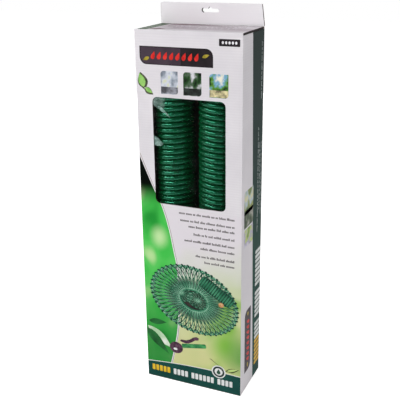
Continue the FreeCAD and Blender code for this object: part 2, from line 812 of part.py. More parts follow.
def gun_dial():
    neck_room, screw_room = gun_neck_radius + running_gap, screw_radius + running_gap
    rim_outside = dial_radius - dial_front_chamfer
    rim_inside = rim_outside - dial_rim_width
    neck_stop = neck_end + 2 * seat_gap
    dial = revolve_x([
        (dial_start, neck_room), (dial_start, dial_radius - dial_rear_chamfer),
        (dial_start + dial_rear_chamfer, dial_radius), (dial_end - dial_front_chamfer, dial_radius),
        (dial_end, rim_outside), (dial_end, rim_inside), (dial_face, rim_inside - dial_rim_slope),
        (dial_face, screw_room), (neck_stop, screw_room), (neck_stop, neck_room)])
    dial = dial.cut(rod(screw_head_radius + seat_gap, screw_seat, dial_face))
    cutters = []
    for scallop in range(dial_scallops):
        cutter = rod(dial_scallop_radius, dial_start - dial_rear_chamfer, dial_end - dial_front_chamfer)
        cutter.translate(V(0, dial_radius - dial_scallop_depth + dial_scallop_radius, 0))
        cutter.rotate(V(0, 0, 0), V(1, 0, 0), (scallop + 0.5) * 360.0 / dial_scallops)
        cutters.append(cutter)
    floor = dial_face - pattern_pocket_depth
    for kind in range(pattern_count):
        pocket = rod(pattern_pocket_radius, floor, dial_face)
        openings = spray_pattern(kind)
        for opening in openings:
            opening.translate(V(floor, 0, 0))
        for cutter in [pocket] + openings:
            cutter.translate(V(0, 0, pattern_ring))
            cutter.rotate(V(0, 0, 0), V(1, 0, 0), kind * 360.0 / pattern_count)
            cutters.append(cutter)
    return dial.cut(cutters)


def dial_screw():
    head_start = screw_seat + seat_gap
    head_end = head_start + screw_head_length
    head = chamfered_rod(screw_head_radius, head_start, head_end, screw_head_length / 5)
    shank = rod(screw_radius, screw_tip, head_start + screw_head_length / 5)
    cross = []
    for turn in (0, 90):
        bar = block((head_end - screw_cross_width, -screw_cross_reach, -screw_cross_width / 2),
                    (head_end, screw_cross_reach, screw_cross_width / 2))
        bar.rotate(V(0, 0, 0), V(1, 0, 0), turn)
        cross.append(bar)
    return head.fuse(shank).cut(cross).removeSplitter()


def inlet_bush():
    inside, outside, lip = washer_hole + seat_gap, bush_radius - running_gap, cup_end - seat_gap
    floor_top = bush_start + bush_floor
    return lean_handle(down([(bush_start, inside), (bush_start, outside), (lip, outside),
                             (lip, socket_radius), (floor_top, socket_radius), (floor_top, inside)]))


def inlet_washer():
    floor = bush_start + bush_floor
    return lean_handle(down([(floor, washer_hole), (floor, washer_radius),
                             (floor + washer_length, washer_radius), (floor + washer_length, washer_hole)]))


def place_gun(shape):
    placed = shape.copy()
    placed.Placement = gun_place.multiply(shape.Placement)
    return placed


# ---------------------------------------------------------------- nodes

side_top = dust_pivot_z - board / 2 - crease_gap
save("front_panel", front_panel())
save("right_panel", sleeve_panel("right", side_top))
save("back_panel", sleeve_panel("back", carton_height - tab_clearance))
save("left_panel", sleeve_panel("left", side_top))
save("glue_flap", glue_flap())
save("window_film", window_film())
save("top_lid", top_lid())
save("tuck_flap", tuck_flap())
save("dust_flap_right", dust_flap(1))
save("dust_flap_left", dust_flap(-1))
for kind in ("outer", "inner"):
    save("bottom_" + kind + "_flap", bottom_flap(kind))
for kind in ("left", "right"):
    save("bottom_dust_flap_" + kind, bottom_flap(kind))
save("hang_tab_front_ply", tab_ply(0))
save("hang_tab_rear_ply", tab_ply(board))

save("hose_coil_left", coil(left_coil_x))
save("hose_coil_right", coil(right_coil_x))
crossing = tube("crossing", [(left_coil_x + cross_x, coil_y - cross_y, first_turn_z),
                             (right_coil_x - cross_x, coil_y + cross_y, first_turn_z)])
save("hose_crossing", crossing.cut([inside_of_coil(left_coil_x), inside_of_coil(right_coil_x)]))
save("hose_tail_back", tube("back tail", back_route).cut(inside_of_coil(left_coil_x)))
save("hose_tail_pocket", tube("pocket tail", pocket_route).cut(inside_of_coil(right_coil_x)))

for name, lay in (("outlet", lay_male), ("inlet", hang_swivel)):
    save(name + "_strain_relief", lay(strain_relief()))
    save(name + "_ferrule", lay(ferrule()))
save("outlet_male_end", lay_male(male_end()))
save("inlet_tailpiece", hang_swivel(tailpiece()))
save("inlet_swivel_nut", hang_swivel(swivel_nut()))
save("inlet_washer", hang_swivel(ring(washer_radius, washer_hole, flange_end, washer_end)))

for name, make in (("gun_body", gun_body), ("gun_dial", gun_dial), ("gun_dial_screw", dial_screw),
                   ("gun_lever", gun_lever), ("gun_lever_pin", lever_pin),
                   ("gun_packing_nut", packing_nut), ("gun_valve_stem", valve_stem),
                   ("gun_stem_knob", stem_knob), ("gun_inlet_bush", inlet_bush),
                   ("gun_inlet_washer", inlet_washer)):
    save(name, place_gun(make()))

print("lid pivot", lid_pivot_y, lid_pivot_z, "tuck pivot", tuck_pivot_y, "dust pivot", dust_pivot_x,
      dust_pivot_z, "tab pivot", tab_pivot_y, tab_pivot_z)
print("coil y", coil_y, "coil top", coil_top, "nut end z", swivel_start_z - nut_end)
for name, point in (("gun origin", V(0, 0, 0)), ("lever pivot", V(lever_back, 0, lever_drop))):
    print(name, gun_place.multVec(point))
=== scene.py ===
"""Coiled garden hose in a tall window carton, with its brass ends and spray gun."""
import math
import random

import bpy
from mathutils import Matrix, Vector


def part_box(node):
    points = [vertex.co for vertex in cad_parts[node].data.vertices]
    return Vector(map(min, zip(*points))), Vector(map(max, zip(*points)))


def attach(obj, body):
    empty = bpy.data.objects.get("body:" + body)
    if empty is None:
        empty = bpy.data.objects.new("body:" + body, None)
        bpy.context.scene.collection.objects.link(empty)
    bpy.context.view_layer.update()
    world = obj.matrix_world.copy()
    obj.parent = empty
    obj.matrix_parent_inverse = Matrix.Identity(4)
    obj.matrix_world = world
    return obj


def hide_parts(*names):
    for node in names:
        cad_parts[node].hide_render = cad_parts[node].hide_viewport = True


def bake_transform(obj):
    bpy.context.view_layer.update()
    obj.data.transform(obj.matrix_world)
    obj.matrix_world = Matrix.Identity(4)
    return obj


bl_info = {
    "name": "Boxed Coil Hose",
    "version": (1, 0, 0),
    "blender": (4, 5, 0),
    "location": "View3D > Sidebar > Coil Hose",
    "description": "Dresses a coiled garden hose, its spray gun and its window carton",
    "category": "Object",
}

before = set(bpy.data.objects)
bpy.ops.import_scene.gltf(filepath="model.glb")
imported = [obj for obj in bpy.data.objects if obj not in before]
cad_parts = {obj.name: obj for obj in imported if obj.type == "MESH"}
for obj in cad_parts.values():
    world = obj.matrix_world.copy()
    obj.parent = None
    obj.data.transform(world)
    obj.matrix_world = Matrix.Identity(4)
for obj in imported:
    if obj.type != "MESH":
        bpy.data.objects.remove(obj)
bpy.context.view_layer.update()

FRONT_LOW, FRONT_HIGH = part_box("front_panel")
COIL_LOW, COIL_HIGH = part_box("hose_coil_left")
RIGHT_COIL_LOW, RIGHT_COIL_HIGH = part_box("hose_coil_right")
FRONT_FACE = FRONT_LOW.y
HALF_WIDTH, FRONT_TOP = FRONT_HIGH.x, FRONT_HIGH.z
SIDE_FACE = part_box("right_panel")[1].x
LID_HALF_WIDTH, LID_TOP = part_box("top_lid")[1].x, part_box("top_lid")[1].z
FILM_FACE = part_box("window_film")[0].y

MM = 0.001
FLUTE_PITCH = 0.0047
PRINT_DEPTH = 0.0005                # board deeper than this shows unprinted
CUT_END_DEPTH = 0.0003              # reach of the darkening over a panel's cut ends
TAB_TAPER = 0.078                   # slope of the hang tab's ends
SLOT_MIDDLE = LID_TOP + 0.0257      # height of the hook slot
BAND_LINE = 0.0016                  # white line along the front band's top edge
BAND_ARCH, BAND_TILT = -0.004, 0.0045    # that edge's bend and slope, at a corner

# The lines that part the green field from the pale one: from, to and colour, where 1 is the
# divider's width
FIELD_LINES = ((-0.6, 0.35, (236, 232, 236)), (0.35, 0.8, (132, 112, 104)),
               (0.8, 1.3, (228, 224, 226)))

LIGHTS_AIM = Vector((0, 0, 0.35))
FLOOR_DROP = 0.0004                 # gap between the floor and the carton's foot

MOTIF_THICKNESS = 0.00005
CORNER_STEPS = 6
LOOP_FLATNESS = 0.01                # height of a printed loop, where 1 is its width
PRINTED_COIL = (4, 195)             # its middle, in millimetres
PRINTED_LEAN = -17                  # its turn, in degrees


# ---------------------------------------------------------------- settings

def number(name, description, default, **more):
    return bpy.props.FloatProperty(name=name, description=description, default=default, **more)


def metres(name, description, default):
    return number(name, description, default, unit="LENGTH")


def watts(name, description, default):
    return number(name, description, default, unit="POWER")


def degrees(name, description, default):
    return number(name, description, math.radians(default), subtype="ANGLE")


class StageSettings(bpy.types.PropertyGroup):
    azimuth: degrees("Azimuth", "Camera's turn round the carton, from the window side", 23.722)
    elevation: degrees("Elevation", "Camera's height angle", 19.917)
    roll: degrees("Roll", "Camera's turn about its own axis", -0.740)
    distance: metres("Distance", "Camera to the middle of the carton", 1.375867)
    aside: metres("Aside", "Camera's move to its right", -0.003492)
    raised: metres("Raised", "Camera's move upwards", 0.028863)
    lens: number("Lens", "Focal length", 63.80, unit="CAMERA")
    key_power: watts("Key light", "Power of the wide soft light in front", 78.0)
    fill_power: watts("Fill light", "Power of the light on the right side", 19.0)
    top_power: watts("Top light", "Power of the overhead light", 1.5)
    rear_power: watts("Rear light", "Power of the light behind the carton", 18.0)
    room_light: number("Room light", "Strength of the even light from all round", 0.24)
    front_room: number("Front of room",
                       "How bright the room's front half looks in glossy surfaces", 0.2)
    floor_glow: number("Floor glow", "White added to the floor where it is seen", 0.8)


class HoseSettings(bpy.types.PropertyGroup):
    diameter: metres("Diameter", "Outside diameter of the hose", 0.010)
    length: metres("Length", "Real length of the hose", 26.9)
    turn_radius: metres("Turn radius", "Middle of the hose to the column's axis", 0.0335)
    turn_points: bpy.props.IntProperty(
        name="Points per turn", description="Control points in each turn of the coil",
        default=16, min=12)
    unevenness: metres("Unevenness", "How far a turn strays from the even coil", 0.0007)
    left_lean: number("Left lean", "Rise of the left column's turns towards the right", 0.15)
    right_lean: number("Right lean", "Rise of the right column's turns towards the right", -0.05)
    front_lift: number("Front lift", "Rise of the turns towards the window", 0.08)
    colour: bpy.props.FloatVectorProperty(
        name="Colour", description="Body colour of the hose", subtype="COLOR", size=3,
        default=(0.0, 0.038, 0.0105), min=0.0, max=1.0)


class CardSettings(bpy.types.PropertyGroup):
    band_height: metres("Band height", "Height of the front's dark band, at its middle", 0.043)
    divider_width: metres("Divider width", "Width of the double line beside the green field",
                          0.0022)
    ink_lift: metres("Ink lift", "How far a printed motif stands off the board", 0.00006)


# ---------------------------------------------------------------- nodes

def ink(red, green, blue):
    """Scene colour of a printed colour given from 0 to 255."""
    def linear(value):
        share = value / 255
        return share / 12.92 if share <= 0.04045 else ((share + 0.055) / 1.055) ** 2.4
    return (linear(red), linear(green), linear(blue), 1.0)


class Value:
    """A number that varies over a surface. The usual signs join it to numbers and to others."""

    def __init__(self, shader, socket):
        self.shader, self.socket = shader, socket

    def __add__(self, other):
        return self.shader.math("ADD", self, other)

    def __sub__(self, other):
        return self.shader.math("SUBTRACT", self, other)

    def __rsub__(self, other):
        return self.shader.math("SUBTRACT", other, self)

    def __mul__(self, other):
        return self.shader.math("MULTIPLY", self, other)

    def __truediv__(self, other):
        return self.shader.math("DIVIDE", self, other)

    def __abs__(self):
        return self.shader.math("ABSOLUTE", self)

    def __lt__(self, other):
        return self.shader.math("LESS_THAN", self, other)

    def __gt__(self, other):
        return self.shader.math("GREATER_THAN", self, other)


class Shader:
    """A node tree, to which each call adds a node."""

    def __init__(self, tree):
        self.tree = tree

    def node(self, kind, inputs=None, **settings):
        """A new node. Its inputs, by name or place, take numbers, colours, values or sockets."""
        made = self.tree.nodes.new(kind)
        for name, value in settings.items():
            setattr(made, name, value)
        for name, value in (inputs or {}).items():
            self.feed(made.inputs[name], value)
        return made

    def feed(self, socket, value):
        if isinstance(value, Value):
            value = value.socket
        if isinstance(value, bpy.types.NodeSocket):
            self.tree.links.new(value, socket)
        else:
            socket.default_value = value

    def math(self, operation, first, second=0.0):
        made = self.node("ShaderNodeMath", {0: first, 1: second}, operation=operation)
        return Value(self, made.outputs[0])


class Finish(Shader):
    """One material. Most methods add nodes, and return the value or colour that they make."""

    def __init__(self, name, **settings):
        self.material = bpy.data.materials.new(name)
        self.material.use_nodes = True
        super().__init__(self.material.node_tree)
        self.surface = self.tree.nodes["Principled BSDF"]
        self.place = self.node("ShaderNodeTexCoord").outputs["Object"]
        split = self.node("ShaderNodeSeparateXYZ", {"Vector": self.place})
        self.x, self.y, self.z = (Value(self, socket) for socket in split.outputs)
        for name, value in settings.items():
            self.set(name.replace("_", " "), value)

    def set(self, name, value):
        for socket in self.surface.inputs:
            if socket.name.lower() == name.lower():
                self.feed(socket, value)
                return
        raise KeyError(name)

    def away(self, x, z, squeeze=1.0):
        """Distance from a point at x and z, in metres, with its height times squeeze."""
        across, along = self.x - x, (self.z - z) * squeeze
        return self.math("SQRT", across * across + along * along)

    def rise(self, value, low, high):
        """0 below low, 1 above high and smooth between them. Low may be the larger one."""
        made = self.node("ShaderNodeMapRange",
                         {"Value": value, "From Min": low, "From Max": high},
                         interpolation_type="SMOOTHSTEP")
        return Value(self, made.outputs["Result"])

    def spots(self, scale, detail=2.0, stretch=(1.0, 1.0, 1.0), shift=(0.0, 0.0, 0.0)):
        moved = self.node("ShaderNodeMapping",
                          {"Vector": self.place, "Scale": stretch, "Location": shift})
        made = self.node("ShaderNodeTexNoise",
                         {"Vector": moved.outputs[0], "Scale": scale, "Detail": detail})
        return Value(self, made.outputs["Fac"])

    def curve(self, value, points):
        """Smooth line through (input, output) points, both from 0 to 1."""
        made = self.node("ShaderNodeFloatCurve", {"Value": value})
        line = made.mapping.curves[0]
        while len(line.points) < len(points):
            line.points.new(0.5, 0.5)
        for point, place in zip(line.points, points):
            point.location = place
        made.mapping.update()
        return Value(self, made.outputs[0])

    def ramp(self, value, stops, interpolation="LINEAR"):
        """Blend of scene colours, each with its place from 0 to 1."""
        made = self.node("ShaderNodeValToRGB", {"Fac": value})
        made.color_ramp.interpolation = interpolation
        elements = made.color_ramp.elements
        while len(elements) < len(stops):
            elements.new(1.0)
        for element, (place, colour) in zip(elements, stops):
            element.position = place
            element.color = colour
        return made.outputs["Color"]

    def inks(self, value, stops, interpolation="LINEAR"):
        """Blend of printed colours, each with its place from 0 to 1."""
        return self.ramp(value, [(place, ink(*colour)) for place, colour in stops],
                         interpolation)

    def tones(self, value, dark, light, low=0.3, high=0.7):
        """Blend of two printed colours, dark where the value is low."""
        return self.inks(value, ((low, dark), (high, light)))

    def mix(self, share, first, second):
        made = self.node("ShaderNodeMix", {"Factor": share, 6: first, 7: second},
                         data_type="RGBA")
        return made.outputs[2]

    def bump(self, height, distance, strength=1.0):
        self.set("Normal", self.node("ShaderNodeBump", {
            "Height": height, "Distance": distance, "Strength": strength}).outputs[0])


# ---------------------------------------------------------------- pieces

def dress(part, finish, slot_name=None):
    """Give a piece this finish alone."""
    part.data.materials.clear()
    part.data.materials.append(finish.material)


def dress_nodes(finish, slot_name, *names):
    """Give these CAD nodes this finish alone."""
    for name in names:
        dress(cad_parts[name], finish, slot_name)


def added(operator, name, **settings):
    """Run one of Blender's add operators with nothing else selected, and name its object."""
    bpy.ops.object.select_all(action="DESELECT")
    operator(**settings)
    bpy.context.object.name = name
    return bpy.context.object


def settle(part):
    """Put a finished piece's place, turn and size into its mesh."""
    bpy.ops.object.select_all(action="DESELECT")
    part.select_set(True)
    bpy.context.view_layer.objects.active = part
    bpy.ops.object.transform_apply(location=True, rotation=True, scale=True)
    return part


def plane(across, up, place):
    """Matrix that lays a drawing's X along across and its Y along up, from this place."""
    across, up = Vector(across), Vector(up)
    made = Matrix((across, up, across.cross(up))).transposed().to_4x4()
    made.translation = place
    return made


# Each face that takes print: where it lies, and its material slot
FACES = {
    "front": (plane((1, 0, 0), (0, 0, 1), (0, FRONT_FACE, 0)), "card_front"),
    "right": (plane((0, 1, 0), (0, 0, 1), (SIDE_FACE, 0, 0)), "card_side"),
    "left": (plane((0, -1, 0), (0, 0, 1), (-SIDE_FACE, 0, 0)), "card_side"),
    "back": (plane((-1, 0, 0), (0, 0, 1), (0, -FRONT_FACE, 0)), "card_back"),
    "top": (plane((1, 0, 0), (0, 1, 0), (0, 0, LID_TOP)), "card_side"),
    "film": (plane((1, 0, 0), (0, 0, 1), (0, FILM_FACE, 0)), "clear_film"),
}


def on_card(part, finish, face="front", layer=1, body="carton"):
    """Stick a flat piece drawn in XY to one face. Higher layers lie above lower ones."""
    lift = bpy.context.scene.coil_hose_card.ink_lift
    place, slot_name = FACES[face]
    part.matrix_world = place @ Matrix.Translation((0, 0, lift * layer)) @ part.matrix_world
    settle(part)
    dress(part, finish, slot_name)
    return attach(part, body)


def blot(name, outlines):
    """Thin plate that stands on the XY plane, from closed outlines of points in millimetres.
    One inside another is a hole."""
    part = added(bpy.ops.curve.primitive_bezier_circle_add, name)
    line = part.data
    line.dimensions = "2D"
    line.fill_mode = "BOTH"
    line.splines.clear()
    for outline in outlines:
        spline = line.splines.new("POLY")
        spline.points.add(len(outline) - 1)
        for point, (across, up) in zip(spline.points, outline):
            point.co = (across * MM, up * MM, 0.0, 1.0)
        spline.use_cyclic_u = True
    bpy.ops.object.convert(target="MESH")
    bpy.ops.object.mode_set(mode="EDIT")
    bpy.ops.mesh.select_all(action="SELECT")
    bpy.ops.mesh.extrude_region_move(
        TRANSFORM_OT_translate={"value": (0, 0, MOTIF_THICKNESS)})
    bpy.ops.mesh.select_all(action="SELECT")
    bpy.ops.mesh.normals_make_consistent(inside=False)
    bpy.ops.object.mode_set(mode="OBJECT")
    return bpy.context.object


# ---------------------------------------------------------------- finishes

def card_base(name, gloss=0.025):
    """Coated white board, with the faint ridges of its flutes and a little unevenness."""
    finish = Finish(name, roughness=0.32, specular_ior_level=gloss)
    paper = finish.tones(finish.spots(14.0, 4.0), (222, 218, 223), (232, 228, 232))
    flutes = finish.math("SINE", finish.z * (2 * math.pi / FLUTE_PITCH))
    paper = finish.mix(flutes * 0.07 + 0.07, paper, ink(206, 200, 206))
    fibre = finish.spots(900.0, 2.0) + finish.spots(22.0, 3.0)
    finish.bump(flutes * 0.35 + fibre, 0.00005)
    return finish, paper


def bare_board(finish, tone=(112, 94, 84)):
    """Unprinted board, streaked along its fibres."""
    grain = finish.spots(260.0, 3.0, (1.0, 1.0, 0.25))
    return finish.tones(grain, [value - 18 for value in tone], tone)


def print_skin(finish, print_colour, bare):
    """This print on the outside, and bare board where bare is 1."""
    finish.set("Base Color", finish.mix(bare, print_colour, bare_board(finish)))


def inside_mask(finish):
    """1 where a point of the sleeve lies deeper than its printed skin."""
    near_x = abs(finish.x) > HALF_WIDTH - PRINT_DEPTH
    near_y = abs(finish.y) > -FRONT_FACE - PRINT_DEPTH
    return 1.0 - finish.math("MAXIMUM", near_x, near_y)


def dark_ends(finish, reach, colour):
    """Darken the cut ends of a board, where it lies further than reach from the middle plane."""
    plain = finish.surface.inputs["Base Color"].links[0].from_socket
    finish.set("Base Color", finish.mix(abs(finish.x) > reach, plain, ink(*colour)))


def wedge_edge(finish):
    """The swoosh that parts the green field from the pale one: its x at each height, and the
    height of its tip."""
    points = [(0.0, -0.060), (0.029, -0.051), (0.075, -0.040), (0.129, -0.0305),
              (0.200, -0.0275), (0.265, -0.0305), (0.290, -0.035), (0.340, -0.045),
              (0.384, -0.0585), (0.410, -0.071), (0.483, -0.1025)]
    top = points[-1][0]
    line = finish.curve(finish.z / top, [(z / top, 1 + x / HALF_WIDTH) for z, x in points])
    return (line - 1.0) * HALF_WIDTH, top


def glow(finish, x, z, reach):
    """1 at a point of the front, fading to 0 at this reach, in metres."""
    return finish.rise(finish.away(x, z, 0.8), reach, 0.0)


def leafy_green(finish):
    """Out-of-focus leaves: bright greens with pale discs, darker at the foot and at the tip."""
    greens = finish.inks(finish.spots(17.0, 1.0, (1.0, 1.0, 0.8)), (
        (0.32, (40, 156, 58)), (0.48, (72, 198, 82)), (0.6, (92, 206, 96)),
        (0.78, (190, 230, 160))), "EASE")
    greens = finish.mix(glow(finish, -0.066, 0.318, 0.026) * 0.9, greens, ink(206, 238, 176))
    greens = finish.mix(glow(finish, -0.086, 0.375, 0.04) * 0.25, greens, ink(30, 130, 44))
    foot = finish.rise(finish.z, 0.27, 0.05) * 0.7
    greens = finish.mix(foot, greens, ink(42, 112, 54))
    tip = finish.rise(finish.z, 0.375, 0.425)
    return finish.mix(tip, greens, ink(3, 8, 3))


def pale_field(finish):
    """White at the window, turning to cream and then to lime towards the foot."""
    drift = finish.x * -0.35 + (finish.spots(9.0, 2.0) * 0.12 + finish.z)
    ground = finish.inks(drift / 0.46, (
        (0.08, (196, 206, 130)), (0.22, (216, 216, 152)), (0.36, (214, 216, 162)),
        (0.47, (208, 215, 172)), (0.58, (206, 215, 176)), (0.68, (220, 221, 210)),
        (0.78, (228, 222, 228))))
    patches = finish.rise(finish.spots(15.0, 1.0, shift=(0.7, 0, 0.3)), 0.44, 0.66)
    green = patches * finish.rise(finish.z, 0.27, 0.2) * finish.rise(finish.x, -0.02, 0.07)
    ground = finish.mix(green, ground, ink(140, 190, 84))
    ground = finish.mix(glow(finish, 0.072, 0.108, 0.055), ground, ink(138, 196, 76))
    return finish.mix(glow(finish, 0.108, 0.09, 0.062) * 0.9, ground, ink(112, 164, 86))


def front_print():
    """The front panel: white above, green and pale fields below, dark band at the foot."""
    settings = bpy.context.scene.coil_hose_card
    finish, paper = card_base("card front print")
    edge, top = wedge_edge(finish)
    side, low, width = finish.x - edge, finish.z < top, settings.divider_width
    lower_part = finish.rise(finish.z, FRONT_TOP * 0.545, FRONT_TOP * 0.53)
    printed = finish.mix(lower_part, paper, pale_field(finish))
    printed = finish.mix((side < 0.0) * low, printed, leafy_green(finish))
    for start, end, colour in FIELD_LINES:
        strip = (side > width * start) * (side < width * end)
        printed = finish.mix(strip * low, printed, ink(*colour))
    across = finish.x / HALF_WIDTH
    bend = across * across * BAND_ARCH + across * BAND_TILT
    below = bend + settings.band_height - finish.z
    printed = finish.mix(below > -BAND_LINE, printed, ink(240, 240, 238))
    band = finish.tones(finish.spots(20.0), (24, 66, 60), (34, 82, 76))
    printed = finish.mix(below > 0.0, printed, band)
    print_skin(finish, printed, inside_mask(finish))
    return finish


def side_print(name):
    """A side panel: a white strip at the front that narrows upwards, and a dark band."""
    finish, paper = card_base(name, 0.015)
    tone = finish.inks(finish.z / FRONT_TOP, (
        (0.0, (26, 74, 66)), (0.35, (30, 72, 62)), (0.7, (38, 58, 54)), (1.0, (44, 56, 54))))
    tone = finish.mix(finish.spots(16.0, 2.0) * 0.35, tone, ink(24, 40, 38))
    band = finish.y > finish.z * -0.032 + 0.0155
    print_skin(finish, finish.mix(band, paper, tone), inside_mask(finish))
    return finish


def back_print():
    """The back panel: white with a dark band at its foot."""
    finish, paper = card_base("card back print")
    band = finish.rise(finish.z, 0.0345, 0.034)
    print_skin(finish, finish.mix(band, paper, ink(30, 74, 68)), inside_mask(finish))
    return finish


def lid_print():
    """Top of the lid: a green strip along its left edge, grey patches that are partly smudges
    and partly painted reflection and shade, and black ends.
    """
    finish, paper = card_base("card lid print", 0.03)
    # Grey patches away from the front edge: partly smudges on the board, partly painted
    # reflection and shade
    smudge_and_sheen = finish.spots(26.0, 4.0, (0.4, 2.0, 1.0))
    grey = finish.rise(smudge_and_sheen, 0.2, 0.7) * finish.rise(finish.y, -0.052, -0.03)
    printed = finish.mix(grey, paper, ink(180, 168, 176))
    strip = finish.x < finish.y * 0.02 + (0.0222 - HALF_WIDTH)
    printed = finish.mix(strip, printed, ink(22, 58, 16))
    print_skin(finish, printed, finish.z < LID_TOP - 0.0004)
    dark_ends(finish, LID_HALF_WIDTH - CUT_END_DEPTH, (26, 12, 14))
    return finish


def plain_board(name, tone):
    """Board with no print."""
    finish, _ = card_base(name, 0.03)
    finish.set("Base Color", bare_board(finish, tone))
    return finish


def shaded_hole_wall(finish, x, z, reach):
    """1 on the left wall of a round hole in the hang tab, and a little past it, where a painted
    shadow goes. Reach is the hole's radius with that margin."""
    return (finish.away(x, z) < reach) * (finish.x < x - 0.0008)


def tab_card():
    """Hang tab: white both sides and whiter than the other board, painted light for the light
    that the leaning tab lacks; its cut ends dark, and painted shadow on the left walls of its
    hook slot.
    """
    finish, paper = card_base("card hang tab")
    ends = abs(finish.x) + (finish.z - LID_TOP) * TAB_TAPER > SIDE_FACE - CUT_END_DEPTH
    # Painted light: the tab's paper goes three quarters of the way to white, making up for the
    # light that the leaning tab lacks
    bright = finish.mix(0.75, paper, ink(255, 252, 255))
    bright = finish.mix(ends, bright, ink(50, 18, 26))
    # Painted shadow: near black on the left walls of the slot's end and of its round notch
    slot_end, slot_notch = (-0.013, SLOT_MIDDLE, 0.0045), (0.0, SLOT_MIDDLE + 0.0017, 0.0046)
    for hole in (slot_end, slot_notch):
        bright = finish.mix(shaded_hole_wall(finish, *hole), bright, ink(16, 8, 10))
    finish.set("Base Color", bright)
    return finish


def clear_film():
    """Thin clear film: it only adds a faint, uneven gloss to what lies behind."""
    finish = Finish("clear window film", roughness=0.08, specular_ior_level=0.5)
    ripple = finish.spots(30.0, 3.0)
    finish.set("Base Color", finish.tones(ripple, (224, 228, 230), (240, 243, 246)))
    finish.set("Alpha", finish.rise(ripple, 0.5, 0.8) * 0.002 + 0.0006)
    finish.bump(ripple, 0.0002, 0.3)
    return finish


def painted_glare_finish(name, strength, fade):
    """Painted reflection where the film is creased and catches the light: a thin veil that fades
    along x.
    """
    finish = Finish(name, roughness=0.5, specular_ior_level=0.0)
    # Pale green-white patches standing in for light reflected by the film: painted reflection
    patches = finish.spots(90.0, 1.0, (1.0, 1.0, 1.6))
    finish.set("Base Color", finish.tones(patches, (176, 220, 208), (214, 246, 236)))
    patchy = finish.rise(patches, 0.3, 0.7) * strength + strength
    finish.set("Alpha", patchy * finish.rise(finish.x, *reversed(fade)))
    return finish


def hose_vinyl():
    """Glossy green vinyl with faint streaks and dust."""
    colour = bpy.context.scene.coil_hose_line.colour
    finish = Finish("hose green vinyl", specular_ior_level=0.95,
                    specular_tint=(0.16, 1.0, 0.62, 1.0))
    deep = tuple(value * 0.72 for value in colour) + (1.0,)
    bright = tuple(value * 1.25 for value in colour) + (1.0,)
    streak = finish.spots(60.0, 3.0, (1.0, 1.0, 3.0))
    finish.set("Base Color", finish.ramp(streak, [(0.3, deep), (0.7, bright)]))
    finish.set("Roughness", finish.spots(120.0) * 0.03 + 0.16)
    finish.bump(finish.spots(60.0, 1.0), 0.00002, 0.2)
    return finish


def moulded(name, colour, roughness, grain=900.0):
    """Moulded plastic or rubber with a fine grain, a little uneven in colour."""
    finish = Finish(name)
    patch = finish.spots(45.0, 3.0)
    dark = [max(value - 10, 0) for value in colour]
    light = [min(value + 8, 255) for value in colour]
    finish.set("Base Color", finish.tones(patch, dark, light))
    finish.set("Roughness", patch * 0.12 + (roughness - 0.06))
    finish.bump(finish.spots(grain, 2.0), 0.00004, 0.7)
    return finish


def metal(name, colour, roughness):
    """Turned metal with fine tool marks and some dull patches."""
    finish = Finish(name, metallic=1.0)
    dull = finish.spots(90.0, 4.0)
    worn = [value * 0.78 for value in colour]
    finish.set("Base Color", finish.tones(dull, worn, colour, 0.3, 0.65))
    finish.set("Roughness", dull * 0.22 + (roughness - 0.1))
    finish.bump(finish.spots(160.0, 2.0, (1.0, 30.0, 30.0)), 0.00003, 0.5)
    return finish


def press_ink(name):
    """Dried printing ink, before it has its colour."""
    finish = Finish(name, roughness=0.4, specular_ior_level=0.12)
    finish.bump(finish.spots(700.0), 0.00002)
    return finish


def ink_finish(name, dark, light, scale=40.0):
    """Printing ink, uneven between two tones."""
    finish = press_ink(name)
    finish.set("Base Color", finish.tones(finish.spots(scale, 3.0), dark, light, 0.35, 0.65))
    return finish


def picture_finish(name, tones, scale, stretch=(1.0, 1.0, 1.0), shift=0.0):
    """A small garden scene out of focus: blotches of the listed tones."""
    finish = press_ink(name)
    blotches = finish.spots(scale, 3.0, stretch, (shift, shift * 0.7, shift * 1.3))
    count = len(tones) - 1
    finish.set("Base Color", finish.inks(
        blotches, [(0.34 + 0.32 * place / count, tone) for place, tone in enumerate(tones)]))
    return finish


# ---------------------------------------------------------------- printed motifs

def slab(x, z, width, height, rounding=0.0, corners="TR TL BL BR"):
    """Outline of a rectangle centred at x and z, in millimetres, with the listed corners
    rounded."""
    points = []
    signs = (("TR", 1, 1), ("TL", -1, 1), ("BL", -1, -1), ("BR", 1, -1))
    for turn, (name, right, up) in enumerate(signs):
        corner = Vector((x + right * width / 2, z + up * height / 2))
        if not rounding or name not in corners.split():
            points.append(tuple(corner))
            continue
        middle = corner - Vector((right, up)) * rounding
        for step in range(CORNER_STEPS + 1):
            angle = math.pi / 2 * (turn + step / CORNER_STEPS)
            points.append((middle.x + rounding * math.cos(angle),
                           middle.y + rounding * math.sin(angle)))
    return points


def oval(x, z, half_width, half_height, count=40):
    """Outline of an ellipse centred at x and z, in millimetres."""
    angles = [2 * math.pi * step / count for step in range(count)]
    return [(x + half_width * math.cos(angle), z + half_height * math.sin(angle))
            for angle in angles]


def leaf(x, z, length, width, turn, belly=0.8, count=9):
    """Outline of a leaf from its stem at x and z, in millimetres. It points along turn, in
    degrees."""
    along = Vector((math.cos(math.radians(turn)), math.sin(math.radians(turn))))
    across = Vector((-along.y, along.x))
    points = []
    for side in (1, -1):
        for step in range(count):
            share = step / count if side > 0 else 1 - step / count
            swell = math.sin(math.pi * share ** belly) * side * width / 2
            points.append(tuple(Vector((x, z)) + along * length * share + across * swell))
    return points


def turned(outline, angle, x, z):
    """The outline turned by an angle in degrees round x and z."""
    turn = Matrix.Rotation(math.radians(angle), 2)
    middle = Vector((x, z))
    return [tuple(turn @ (Vector(point) - middle) + middle) for point in outline]


